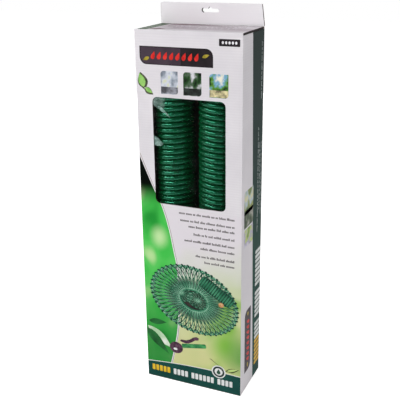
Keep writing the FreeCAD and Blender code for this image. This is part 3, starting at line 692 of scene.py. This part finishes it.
def words(lines, seed, height, gap):
    """Outlines of plain strokes set as lines of words, gap apart. Each line is (first x,
    last x, z) in millimetres, and is filled from its end."""
    chance = random.Random(seed)
    strokes = []
    for first, last, z in lines:
        x = last
        while x > first:
            for _ in range(chance.randint(2, 7)):
                tall = height * chance.choice((1.0, 1.0, 1.0, 1.45))
                width = chance.uniform(0.42, 0.68) * height
                strokes.append(slab(x - width / 2, z + (tall - height) / 2, width, tall,
                                    width * 0.3))
                x -= width + height * 0.16
            x -= gap
    return strokes


def printed(name, outlines, finish, face="front", layer=1, body="carton"):
    """Print closed outlines in millimetres on one face of the carton."""
    return on_card(blot(name, outlines), finish, face, layer, body)


def loops(name, finish, place, reach, loop, wire, count, layer, shift=0.0):
    """A ring of slim loops round an oval, as a slack coil lies. Reach and loop are half sizes
    across and along, all lengths are in millimetres, and shift is in loops."""
    part = added(bpy.ops.mesh.primitive_torus_add, name, major_radius=loop[0],
                 minor_radius=wire, major_segments=20, minor_segments=4)
    part.scale.y = loop[1] / loop[0]
    bpy.ops.object.transform_apply(scale=True)
    bpy.ops.object.mode_set(mode="EDIT")
    bpy.ops.mesh.select_all(action="SELECT")
    bpy.ops.transform.translate(value=(reach[0], 0, 0))
    step = 2 * math.pi / count
    bpy.ops.transform.rotate(value=-shift * step, orient_axis="Z", center_override=(0, 0, 0))
    bpy.ops.mesh.spin(steps=count - 1, dupli=True, angle=step * (count - 1),
                      center=(0, 0, 0), axis=(0, 0, 1))
    bpy.ops.object.mode_set(mode="OBJECT")
    part.scale = (MM, MM * reach[1] / reach[0], MM * LOOP_FLATNESS)
    part.rotation_euler.z = math.radians(PRINTED_LEAN)
    part.location = (place[0] * MM, place[1] * MM, 0.0)
    settle(part)
    return on_card(part, finish, layer=layer)


def coil_shade_finish():
    """Dark ink under the printed coil, which fades out towards its rim."""
    shade = ink_finish("coil motif shade", (34, 30, 30), (70, 56, 52), 60.0)
    inside = shade.node("ShaderNodeMapping", {
        "Vector": shade.place,
        "Location": (PRINTED_COIL[0] * MM, FRONT_FACE, PRINTED_COIL[1] * MM),
        "Rotation": (0, -math.radians(PRINTED_LEAN), 0),
        "Scale": (0.063, 1.0, 0.046)}, vector_type="TEXTURE")
    reach = shade.node("ShaderNodeVectorMath", {0: inside.outputs[0]}, operation="LENGTH")
    shade.set("Alpha", shade.rise(reach.outputs["Value"], 1.0, 0.62) * 0.92)
    return shade


class COIL_HOSE_OT_prints(bpy.types.Operator):
    """Stick the printed motifs on the carton"""
    bl_idname = "coil_hose.prints"
    bl_label = "Printed Motifs"

    def execute(self, context):
        self.top_of_front()
        self.pictures()
        self.coil_motif()
        white = ink_finish("band white ink", (224, 226, 226), (240, 240, 240))
        self.title_and_text(white)
        self.foot_leaves()
        self.small_gun(white)
        self.seal_and_sprig(white)
        self.sides()
        self.back()
        self.lid()
        self.crease()
        return {"FINISHED"}

    def top_of_front(self):
        """The badge with its drops, the small tag and the pair of leaves."""
        black = ink_finish("badge ink", (28, 24, 26), (44, 37, 42))
        purple = ink_finish("badge left ink", (62, 50, 60), (72, 60, 70))
        printed("badge_plate", [slab(-22.5, 664, 141, 32, 13, "TR BL")], black)
        printed("badge_left_tone", [slab(-52, 664, 78, 29, 12, "BL")], purple, layer=2)
        red = ink_finish("badge red ink", (196, 34, 32), (228, 58, 50), 90.0)
        drops = [leaf(x - 3, 657.5, 15, 7.5, 68, 0.6) for x in range(-66, 29, 12)]
        printed("badge_drops", drops, red, layer=3)
        olive = ink_finish("badge olive ink", (128, 116, 34), (178, 160, 60), 120.0)
        printed("badge_leaves", [leaf(-74, 661, 14, 6, 205), leaf(28, 665, 14, 6, 20)],
                olive, layer=3)
        printed("tag_plate", [slab(78, 691.5, 38, 12, 0.8)], black)
        white = ink_finish("white ink", (226, 222, 226), (240, 238, 242))
        dots = [oval(x, 691.5, 2.0, 2.6, 14) for x in range(66, 91, 6)]
        printed("tag_dots", dots, white, layer=2)
        leaf_dark = ink_finish("leaf edge ink", (52, 66, 40), (92, 92, 74), 150.0)
        leaf_green = ink_finish("leaf ink", (78, 160, 62), (176, 222, 126), 60.0)
        printed("leaf_edges", [leaf(-85, 604, 31, 20, 106), leaf(-86, 606, 21, 12, -34)],
                leaf_dark)
        printed("leaf_faces", [leaf(-87, 607, 26, 13.5, 108),
                               leaf(-84.5, 606.2, 17, 7.5, -32)], leaf_green, layer=2)

    def pictures(self):
        """Three small garden scenes: x, width, tones and the ground's colour of each."""
        scenes = (
            (-36, 33.4, [(120, 128, 140), (170, 178, 190), (212, 216, 226), (214, 220, 160)],
             (156, 158, 168)),
            (8.5, 34.6, [(14, 20, 16), (36, 72, 34), (84, 104, 84), (214, 214, 220)],
             (52, 60, 56)),
            (58.4, 35.4, [(30, 60, 34), (96, 150, 60), (120, 170, 206), (238, 234, 216)],
             (232, 220, 170)),
        )
        z, height = 617.5, 41
        for count, (x, width, tones, low) in enumerate(scenes, 1):
            scene = picture_finish(f"picture {count}", tones, 74.0, (1.0, 1.0, 0.7),
                                   count * 0.37)
            printed(f"picture_{count}", [slab(x, z, width, height, 6, "TL BR")], scene)
            ground = ink_finish(f"picture {count} ground", [value // 2 for value in low], low,
                                120.0)
            foot = slab(x, z - height * 0.33, width * 0.98, height * 0.3, 4, "BR")
            printed(f"picture_{count}_ground", [foot], ground, layer=2)

    def coil_motif(self):
        """A slack coil of hose with two small rings in it, a neat roll and a brass end."""
        dark = ink_finish("coil motif dark", (18, 52, 42), (30, 78, 60), 70.0)
        middle = ink_finish("coil motif green", (36, 108, 76), (76, 152, 114), 60.0)
        light = ink_finish("coil motif light", (110, 176, 142), (170, 208, 186), 60.0)
        ground = turned(oval(*PRINTED_COIL, 62, 45, 48), PRINTED_LEAN, *PRINTED_COIL)
        printed("coil_shade", [ground], coil_shade_finish())
        loops("coil_back", dark, PRINTED_COIL, (61, 45), (32, 7.6), 4.3, 46, 2)
        loops("coil_middle", middle, PRINTED_COIL, (61, 45), (32, 6.4), 2.5, 46, 3, 0.5)
        loops("coil_lights", light, PRINTED_COIL, (62, 46), (31, 5.6), 1.0, 46, 4, 0.25)
        for count, heart in enumerate(((-21, 206), (13, 196)), 1):
            name = f"coil_heart_{count}"
            loops(f"{name}_back", dark, heart, (11, 8), (12, 4.0), 2.6, 15, 3)
            loops(name, middle, heart, (11, 8), (12, 3.0), 1.0, 15, 5, 0.5)
            loops(f"{name}_lights", light, heart, (12, 9), (10, 2.0), 0.5, 15, 6, 0.3)
        roll, lean = (52, 222), -33
        printed("coil_roll", [turned(slab(*roll, 78, 26, 9), lean, *roll)], dark, layer=7)
        strands = [turned(leaf(16 + step * 5.2, 209.5, 25, 3.6, 90), lean, *roll)
                   for step in range(15)]
        printed("coil_roll_strands", strands, middle, layer=8)
        brass = ink_finish("coil motif brass", (196, 132, 84), (232, 190, 140), 300.0)
        printed("coil_end", [oval(62, 196, 5.5, 5, 20)], brass, layer=9)

    def title_and_text(self, white):
        """Groups of bars along the band, the first in yellow, and lines of strokes above."""
        yellow = ink_finish("band yellow ink", (226, 178, 32), (246, 208, 66))
        bars, x = [], -92.0
        for group in (5, 4, 6, 4):
            for _ in range(group):
                bars.append(slab(x + 3.2, 22.4, 6.4, 13.4, 1.6))
                x += 8.5
            x += 6.0
        printed("band_bars_yellow", bars[:5], yellow)
        printed("band_bars_white", bars[5:], white)
        ends = 88.3
        lines = [(first, ends, z) for first, z in (
            (-19.5, 373.5), (-21.9, 359.3), (-5.7, 348.5), (18.5, 333.6), (-6.3, 319.3),
            (22.1, 306.7), (15.9, 290.1), (25.9, 279.0))]
        grey = ink_finish("text ink", (96, 92, 94), (120, 116, 116))
        printed("text_bars", words(lines, 5, 3.4, 2.0), grey)

    def foot_leaves(self):
        """Two dark blades and the pale light round them, at the foot's left edge."""
        deep = ink_finish("foot leaf ink", (20, 74, 34), (40, 116, 56), 50.0)
        pale = ink_finish("foot light ink", (176, 212, 168), (236, 242, 230), 40.0)
        printed("foot_light", [leaf(-99, 118, 66, 22, -38, 0.9)], pale)
        blades = [leaf(-101.5, 112, 70, 20, -46, 0.7), leaf(-96, 130, 40, 13, 4)]
        printed("foot_blades", blades, deep, layer=2)

    def small_gun(self, white):
        """The spray gun in little: handle, wavy lever, dial and the dial's glint."""
        dial = ink_finish("small gun dial ink", (58, 36, 52), (104, 72, 92), 160.0)
        green = ink_finish("small gun green ink", (34, 110, 66), (76, 164, 96), 120.0)
        handle = (3, 92)
        printed("small_gun_handle", [turned(slab(*handle, 54, 9.5, 3), 11, *handle)], green)
        lever = [(-28, 97), (-25, 101), (-14, 101.5), (-6, 105), (2, 111.5), (9, 114),
                 (14, 112), (13, 107), (6, 105.5), (-1, 100), (-8, 95.5), (-15, 94)]
        printed("small_gun_lever", [lever], dial, layer=2)
        printed("small_gun_dial", [oval(-36, 80, 14.6, 13, 28)], dial, layer=3)
        printed("small_gun_glint", [oval(-38, 76.5, 4.6, 2.6, 16)], white, layer=4)

    def seal_and_sprig(self, white):
        """A round seal with a plain drop in it, and a sprig beside it."""
        printed("seal_rim", [oval(56, 45.5, 15, 14.5)], white)
        printed("seal_ring", [oval(56, 45.5, 12.4, 12), oval(56, 45.5, 8.6, 8.2)],
                ink_finish("seal ink", (36, 48, 48), (64, 74, 72)), layer=2)
        printed("seal_drop", [leaf(56, 39.5, 12, 8, 90, 0.6)],
                ink_finish("seal green ink", (44, 78, 62), (72, 104, 84)), layer=2)
        sprig = ink_finish("sprig ink", (50, 60, 34), (96, 104, 62))
        printed("sprig_stalk", [leaf(70, 49, 31, 10, 20), leaf(36, 73, 48, 1.6, -33, 0.2)],
                sprig)
        printed("sprig_leaf", [leaf(74, 51.4, 24, 5.6, 20)],
                ink_finish("sprig leaf ink", (176, 206, 110), (206, 226, 150)), layer=2)

    def sides(self):
        """The badge on the right, and the same motifs on both side panels, mirrored on the
        left so that their fronts match."""
        self.right_badge()
        for face, hand in (("right", 1), ("left", -1)):
            for name, outlines, finish in self.side_motifs(face):
                mirrored = [[(hand * x, z) for x, z in outline] for outline in outlines]
                printed(f"{face}_{name}", mirrored, finish, face)

    def right_badge(self):
        black = ink_finish("side badge ink", (40, 32, 38), (64, 52, 60))
        printed("right_badge", [slab(-16.5, 108, 34, 138, 14, "TL BR")], black, "right")
        red = ink_finish("side badge red ink", (186, 34, 32), (220, 58, 50), 90.0)
        drops = [leaf(-8, z, 17, 8, 158, 0.6) for z in range(62, 158, 12)]
        printed("right_badge_drops", drops, red, "right", 2)
        olive = ink_finish("side badge olive ink", (150, 130, 40), (206, 184, 70), 120.0)
        leaves = [leaf(-16, 57, 12, 6, 270), leaf(-16, 162, 10, 6, 90)]
        printed("right_badge_leaves", leaves, olive, "right", 2)

    def side_motifs(self, face):
        """Name, outlines and finish of each motif on a side, drawn for the right one."""
        scenes = (
            (402, 46, [(60, 92, 60), (150, 160, 90), (180, 196, 206), (214, 210, 170)]),
            (370, 34, [(34, 38, 34), (72, 92, 60), (150, 150, 140), (206, 204, 196)]),
            (332, 36, [(120, 150, 80), (196, 210, 130), (176, 170, 196), (216, 212, 222)]),
        )
        for count, (z, tall, tones) in enumerate(scenes, 1):
            finish = picture_finish(f"{face} picture {count}", tones, 46.0, shift=count * 0.53)
            yield f"picture_{count}", [slab(-18.5, z, 48, tall, 7, "TL BR")], finish
        white = ink_finish(f"{face} white ink", (206, 210, 208), (232, 234, 232))
        yellow = ink_finish(f"{face} yellow ink", (214, 162, 36), (240, 200, 70))
        bars = [slab(38, z, 29, 7.4, 2) for z in range(30, 286, 10)]
        word_gaps = (10, 17)
        yield "bars_yellow", bars[:6], yellow
        yield "bars_white", [bar for place, bar in enumerate(bars)
                             if place > 5 and place not in word_gaps], white
        pale = ink_finish(f"{face} text ink", (140, 150, 148), (180, 188, 186))
        columns = ((591, 683, 43.0), (372, 529, 30.0), (364, 499, 38.5), (364, 499, 47.0),
                   (328, 362, 30.0))
        upright = [[(x, z) for z, x in bar] for bar in words(columns, 7, 2.8, 2.4)]
        yield "text_bars", upright, pale

    def back(self):
        """A title, lines of strokes and three small scenes."""
        grey = ink_finish("back text ink", (96, 92, 94), (120, 116, 116))
        lines = [(-80 + step % 3 * 4, 80, 560 - step * 13) for step in range(9)]
        printed("back_text_bars", words(lines, 13, 3.4, 2.4), grey, "back")
        green = ink_finish("back green ink", (30, 74, 68), (40, 88, 80))
        bars = [slab(-84 + step * 10.5, 610, 7.4, 17, 2) for step in range(17)]
        printed("back_title_bars", bars, green, "back")
        tones = [(60, 120, 66), (120, 176, 96), (190, 210, 160), (214, 216, 222)]
        for count, x in enumerate((-56, 0, 56), 1):
            finish = picture_finish(f"back picture {count}", tones, 60.0, shift=count * 0.41)
            printed(f"back_picture_{count}", [slab(x, 375, 44, 52, 7, "TL BR")], finish,
                    "back")

    def lid(self):
        """A painted shadow along the hang tab's foot, a dark patch at the left, and faint
        strokes.
        """
        # Painted shadow along the tab's foot, where the gap between lid and tab lies, and a dark
        # patch at the left
        shade = ink_finish("lid shade ink", (88, 58, 70), (122, 96, 106), 60.0)
        dark_marks = [leaf(-80, 42, 108, 18, 0, 0.5), leaf(-82, -36, 30, 20, 8, 1.0)]
        printed("lid_rear_shade", dark_marks, shade, "top", 1, "lid")
        faint = ink_finish("lid text ink", (126, 106, 116), (158, 142, 150), 60.0)
        lines = ((-66, 78, 30.0), (-60, 80, 17.0), (-66, 60, 4.0), (-50, 82, -9.0))
        printed("lid_text_bars", words(lines, 11, 3.6, 3.0), faint, "top", 1, "lid")

    def crease(self):
        """The printed skin that runs over the fold between the front and the lid."""
        front, top = FRONT_FACE / MM, LID_TOP / MM
        outer, inner, radius, steps = 0.12, 0.02, 0.9, 6
        drop, overlap = 4.5, 4.0
        profile = []
        for skin, order in ((outer, 1), (inner, -1)):
            bend = radius + skin
            angles = [math.pi / 2 * step / steps for step in range(steps + 1)]
            arc = [(front + radius - bend * math.cos(angle),
                    top - radius + bend * math.sin(angle)) for angle in angles]
            edge = [(front - skin, top - drop), *arc, (front + overlap, top + skin)]
            profile += edge[::order]
        part = blot("front_crease", [profile])
        length = 2 * HALF_WIDTH
        part.scale.z = length / MOTIF_THICKNESS
        settle(part)
        across = FACES["right"][0] @ Matrix.Translation((0, 0, -SIDE_FACE - length / 2))
        part.matrix_world = across @ part.matrix_world
        settle(part)
        finish, paper = card_base("card crease")
        finish.set("Base Color", paper)
        dress(part, finish, "card_front")
        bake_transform(part)


# ---------------------------------------------------------------- stage

def soft_light(name, power, size, place):
    """A rectangular light of this width and height, in metres, turned to the carton."""
    lamp = added(bpy.ops.object.light_add, name, type="AREA", location=place)
    lamp.data.shape = "RECTANGLE"
    lamp.data.size, lamp.data.size_y = size
    lamp.data.energy = power
    way = LIGHTS_AIM - Vector(place)
    lamp.rotation_euler = way.to_track_quat("-Z", "Y").to_euler()


class COIL_HOSE_OT_stage(bpy.types.Operator):
    """Add the camera, the lights and the pale floor"""
    bl_idname = "coil_hose.stage"
    bl_label = "Stage"

    def execute(self, context):
        settings = context.scene.coil_hose_stage
        self.add_camera(context.scene, settings)
        soft_light("key_light", settings.key_power, (3.2, 0.7), (-1.35, -2.1, 2.3))
        soft_light("fill_light", settings.fill_power, (1.0, 1.6), (2.7, 0.1, 1.0))
        soft_light("top_light", settings.top_power, (1.6, 1.2), (-0.3, 0.5, 2.4))
        soft_light("rear_light", settings.rear_power, (1.6, 0.8), (-0.9, 2.8, 0.42))
        self.add_world(context.scene, settings)
        self.add_floor(settings)
        context.scene.view_settings.view_transform = "Standard"
        return {"FINISHED"}

    def add_camera(self, scene, settings):
        turn, height = settings.azimuth, settings.elevation
        back = Vector((math.sin(turn) * math.cos(height), -math.cos(turn) * math.cos(height),
                       math.sin(height)))
        right = (-back).cross(Vector((0, 0, 1))).normalized()
        up = right.cross(-back)
        cosine, sine = math.cos(settings.roll), math.sin(settings.roll)
        middle = Vector((0, 0, FRONT_TOP / 2))
        place = (middle + back * settings.distance + right * settings.aside
                 + up * settings.raised)
        camera = added(bpy.ops.object.camera_add, "camera")
        camera.matrix_world = plane(right * cosine + up * sine, up * cosine - right * sine,
                                    place)
        camera.data.sensor_width = 36.0
        camera.data.lens = settings.lens
        scene.camera = camera

    def add_world(self, scene, settings):
        """A white room whose front half is darker in glossy surfaces, and which lights the
        object only a little."""
        scene.world = bpy.data.worlds.new("studio")
        scene.world.use_nodes = True
        shader = Shader(scene.world.node_tree)
        background = shader.tree.nodes["Background"]
        path = shader.node("ShaderNodeLightPath").outputs
        level = shader.node("ShaderNodeMapRange", {
            "Value": path["Is Diffuse Ray"], "To Min": 1.0, "To Max": settings.room_light})
        way = shader.node("ShaderNodeTexCoord").outputs["Generated"]
        depth = shader.node("ShaderNodeSeparateXYZ", {0: way}).outputs["Y"]
        backdrop = shader.node("ShaderNodeMapRange", {
            "Value": depth, "From Min": -0.4, "From Max": 0.3, "To Min": settings.front_room})
        strength = shader.node("ShaderNodeMix", {
            "Factor": path["Is Glossy Ray"], "A": level.outputs[0], "B": backdrop.outputs[0]})
        shader.feed(background.inputs["Color"], (1.0, 1.0, 1.0, 1.0))
        shader.feed(background.inputs["Strength"], strength.outputs["Result"])

    def add_floor(self, settings):
        """A pale floor that glows where it is seen, at half strength in glossy surfaces."""
        floor = settle(added(bpy.ops.mesh.primitive_plane_add, "studio_floor", size=14.0,
                             location=(0, 0, -FLOOR_DROP)))
        finish = Finish("studio floor", roughness=0.85, specular_ior_level=0.1)
        grain = finish.spots(3.0, 2.0)
        finish.set("Base Color", finish.tones(grain, (226, 226, 226), (232, 232, 232), 0, 1))
        path = finish.node("ShaderNodeLightPath").outputs
        diffuse, glossy = (Value(finish, path[f"Is {ray} Ray"]) for ray in ("Diffuse", "Glossy"))
        seen = 1.0 - diffuse - glossy * 0.5
        finish.set("Emission Color", (1.0, 1.0, 1.0, 1.0))
        finish.set("Emission Strength", seen * settings.floor_glow)
        dress(floor, finish)


# ---------------------------------------------------------------- hose

# The tails' points outside the columns, in order from the coil to the fitting
BACK_TAIL = [(-0.0475, 0.0225, 0.6398), (-0.024, 0.0225, 0.6398), (0.014, 0.037, 0.6591),
             (0.072, 0.037, 0.6591)]
POCKET_TAIL = [(0.0075, -0.011, 0.6398), (0.0075, 0.0091, 0.6398), (0.0075, 0.0271, 0.6296),
               (0.0075, 0.0375, 0.6118), (0.0075, 0.0375, 0.562)]


class Column:
    """One column of the coil: its axis, its heights, angles and lean, and its own chance."""

    def __init__(self, axis, heights, angles, lean, seed):
        self.axis, self.heights, self.angles, self.lean = axis, heights, angles, lean
        self.chance = random.Random(seed)

    def points(self, settings):
        """Route of the hose along the turns, a little uneven, and level at both ends."""
        start, end = self.angles
        count = round(abs(end - start) / (2 * math.pi) * settings.turn_points)
        reach = settings.turn_radius / math.cos(math.pi / settings.turn_points)
        waves = [(self.chance.uniform(0.2, 1.3), self.chance.uniform(0, 2 * math.pi))
                 for _ in range(5)]
        found = []
        for step in range(count + 1):
            share = step / count
            angle = start + (end - start) * share
            turn = abs(angle - start) / (2 * math.pi)
            calm = min(1.0, turn / 3, abs(end - angle) / (6 * math.pi))
            stray = [math.sin(turn * rate + shift) * settings.unevenness * calm
                     for rate, shift in waves]
            across = (reach + stray[0] * 0.5) * math.cos(angle)
            along = (reach + stray[1] * 0.5) * math.sin(angle)
            tilt = (self.lean[0] * across - self.lean[1] * along) * calm
            height = self.heights[0] + (self.heights[1] - self.heights[0]) * share
            found.append((self.axis[0] + across + stray[2],
                          self.axis[1] + along + stray[3] * 0.6,
                          height + tilt + stray[4] * 0.4))
        return found


class COIL_HOSE_OT_hose(bpy.types.Operator):
    """Wind the hose in two columns, with its tails to the brass ends"""
    bl_idname = "coil_hose.hose"
    bl_label = "Coiled Hose"

    def execute(self, context):
        settings = context.scene.coil_hose_line
        hose = self.add_line("garden_hose", self.route(settings), settings)
        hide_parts("hose_coil_left", "hose_coil_right", "hose_crossing",
                    "hose_tail_back", "hose_tail_pocket")
        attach(hose, "carton")
        return {"FINISHED"}

    def route(self, settings):
        """Down the left column, across its foot, and up the right one."""
        radius = settings.diameter / 2
        first, last = COIL_LOW.z + radius, COIL_HIGH.z - radius
        axis_y = (COIL_LOW.y + COIL_HIGH.y) / 2
        left_x = (COIL_LOW.x + COIL_HIGH.x) / 2
        right_x = (RIGHT_COIL_LOW.x + RIGHT_COIL_HIGH.x) / 2
        touch = math.acos(settings.turn_radius * 2 / (right_x - left_x))
        whole = 2 * math.pi * round((last - first) / settings.diameter)
        left = Column((left_x, axis_y), (last, first), (math.pi / 2, whole - touch),
                      (settings.left_lean, settings.front_lift), 11)
        right = Column((right_x, axis_y), (first, last), (math.pi - touch, math.pi - whole),
                       (settings.right_lean, settings.front_lift), 12)
        return BACK_TAIL[::-1] + left.points(settings) + right.points(settings) + POCKET_TAIL

    def add_line(self, name, points, settings):
        hose = added(bpy.ops.curve.primitive_nurbs_path_add, name)
        line = hose.data
        line.splines.clear()
        spline = line.splines.new("NURBS")
        spline.points.add(len(points) - 1)
        for point, place in zip(spline.points, points):
            point.co = (*place, 1.0)
        spline.order_u = 3
        spline.use_endpoint_u = True
        line.dimensions = "3D"
        line.resolution_u = 2
        line.bevel_depth = settings.diameter / 2
        line.bevel_resolution = 2
        line.use_fill_caps = True
        line.materials.append(hose_vinyl().material)
        return hose


# ---------------------------------------------------------------- carton, fittings and gun

class COIL_HOSE_OT_card(bpy.types.Operator):
    """Print and finish the carton's boards"""
    bl_idname = "coil_hose.card"
    bl_label = "Carton Board"

    def execute(self, context):
        dress_nodes(front_print(), "card_front", "front_panel")
        dress_nodes(side_print("card right print"), "card_side", "right_panel")
        dress_nodes(side_print("card left print"), "card_side", "left_panel")
        dress_nodes(back_print(), "card_back", "back_panel")
        dress_nodes(lid_print(), "card_side", "top_lid")
        tab = tab_card()
        dress_nodes(tab, "card_front", "hang_tab_front_ply")
        dress_nodes(tab, "card_back", "hang_tab_rear_ply")
        # The inside board's dark brown is partly painted shade, darker than the bare board, for
        # the shade inside the carton
        dress_nodes(plain_board("card inside", (78, 64, 58)), "card_inside", "tuck_flap",
                    "glue_flap", "bottom_inner_flap", "bottom_dust_flap_left",
                    "bottom_dust_flap_right")
        flap = plain_board("card dust flap", (88, 74, 66))
        dark_ends(flap, SIDE_FACE - 0.0014, (24, 14, 16))
        dress_nodes(flap, "card_inside", "dust_flap_left", "dust_flap_right")
        dress_nodes(plain_board("card bottom", (205, 200, 196)), "card_side",
                    "bottom_outer_flap")
        return {"FINISHED"}


class COIL_HOSE_OT_film(bpy.types.Operator):
    """Fit the clear window film"""
    bl_idname = "coil_hose.film"
    bl_label = "Window Film"

    def execute(self, context):
        dress_nodes(clear_film(), "clear_film", "window_film")
        # Painted reflections on the film: a glare at the top corner, a bright line along a
        # crease and a bright blob lower down
        self.veil("glare", [(-72, 591), (-44, 592), (-46, 578), (-50, 569), (-40, 559),
                            (-52, 564), (-72, 576)], 0.06, (-0.07, -0.036))
        self.veil("crease", [(-62, 575), (-54, 573), (-46, 565), (-34, 552), (-45, 559),
                             (-56, 566)], 0.11, (-0.058, -0.025), 2)
        self.veil("blister", [(-71, 519), (-62, 514), (-51, 504), (-58, 499), (-72, 500)],
                  0.1, (-0.062, -0.045))
        return {"FINISHED"}

    def veil(self, name, outline, strength, fade, layer=1):
        """Stick a thin veil of painted reflection on the film. It fades between these two x, in
        metres.
        """
        printed(f"film_{name}", [outline], painted_glare_finish(f"film {name}", strength, fade),
                "film", layer)


class COIL_HOSE_OT_fittings(bpy.types.Operator):
    """Finish the brass ends and their strain reliefs"""
    bl_idname = "coil_hose.fittings"
    bl_label = "Hose Ends"

    def execute(self, context):
        dress_nodes(metal("turned brass", (214, 170, 96), 0.28), "brass_turned",
                    "outlet_ferrule", "outlet_male_end", "inlet_ferrule", "inlet_tailpiece",
                    "inlet_swivel_nut")
        dress_nodes(moulded("relief black rubber", (30, 31, 30), 0.5), "relief_black",
                    "outlet_strain_relief", "inlet_strain_relief")
        dress_nodes(moulded("seal black rubber", (24, 24, 25), 0.65, 1400.0), "seal_black",
                    "inlet_washer", "gun_inlet_washer")
        return {"FINISHED"}


class COIL_HOSE_OT_gun(bpy.types.Operator):
    """Finish the spray gun"""
    bl_idname = "coil_hose.gun"
    bl_label = "Spray Gun"

    def execute(self, context):
        dress_nodes(moulded("gun green plastic", (38, 118, 74), 0.38), "gun_green",
                    "gun_body")
        dress_nodes(moulded("gun dark plastic", (62, 50, 58), 0.4), "gun_black", "gun_dial",
                    "gun_lever", "gun_stem_knob", "gun_packing_nut", "gun_inlet_bush")
        dress_nodes(metal("bright steel", (200, 202, 205), 0.22), "steel_bright",
                    "gun_valve_stem", "gun_dial_screw", "gun_lever_pin")
        return {"FINISHED"}


# ---------------------------------------------------------------- panel and run

OPERATORS = (COIL_HOSE_OT_stage, COIL_HOSE_OT_hose, COIL_HOSE_OT_card, COIL_HOSE_OT_prints,
             COIL_HOSE_OT_film, COIL_HOSE_OT_fittings, COIL_HOSE_OT_gun)
SETTINGS = {"coil_hose_stage": StageSettings, "coil_hose_line": HoseSettings,
            "coil_hose_card": CardSettings}


class COIL_HOSE_PT_panel(bpy.types.Panel):
    """Lists the steps that dress the boxed hose"""
    bl_label = "Boxed Coil Hose"
    bl_idname = "COIL_HOSE_PT_panel"
    bl_space_type = "VIEW_3D"
    bl_region_type = "UI"
    bl_category = "Coil Hose"

    def draw(self, context):
        for operator in OPERATORS:
            self.layout.operator(operator.bl_idname)


def register():
    for made in (*SETTINGS.values(), *OPERATORS, COIL_HOSE_PT_panel):
        bpy.utils.register_class(made)
    for name, made in SETTINGS.items():
        setattr(bpy.types.Scene, name, bpy.props.PointerProperty(type=made))


def unregister():
    for name in SETTINGS:
        delattr(bpy.types.Scene, name)
    for made in (COIL_HOSE_PT_panel, *reversed(OPERATORS), *SETTINGS.values()):
        bpy.utils.unregister_class(made)


def main():
    register()
    for operator in OPERATORS:
        group, name = operator.bl_idname.split(".")
        getattr(getattr(bpy.ops, group), name)()


if __name__ == "__main__":
    main()
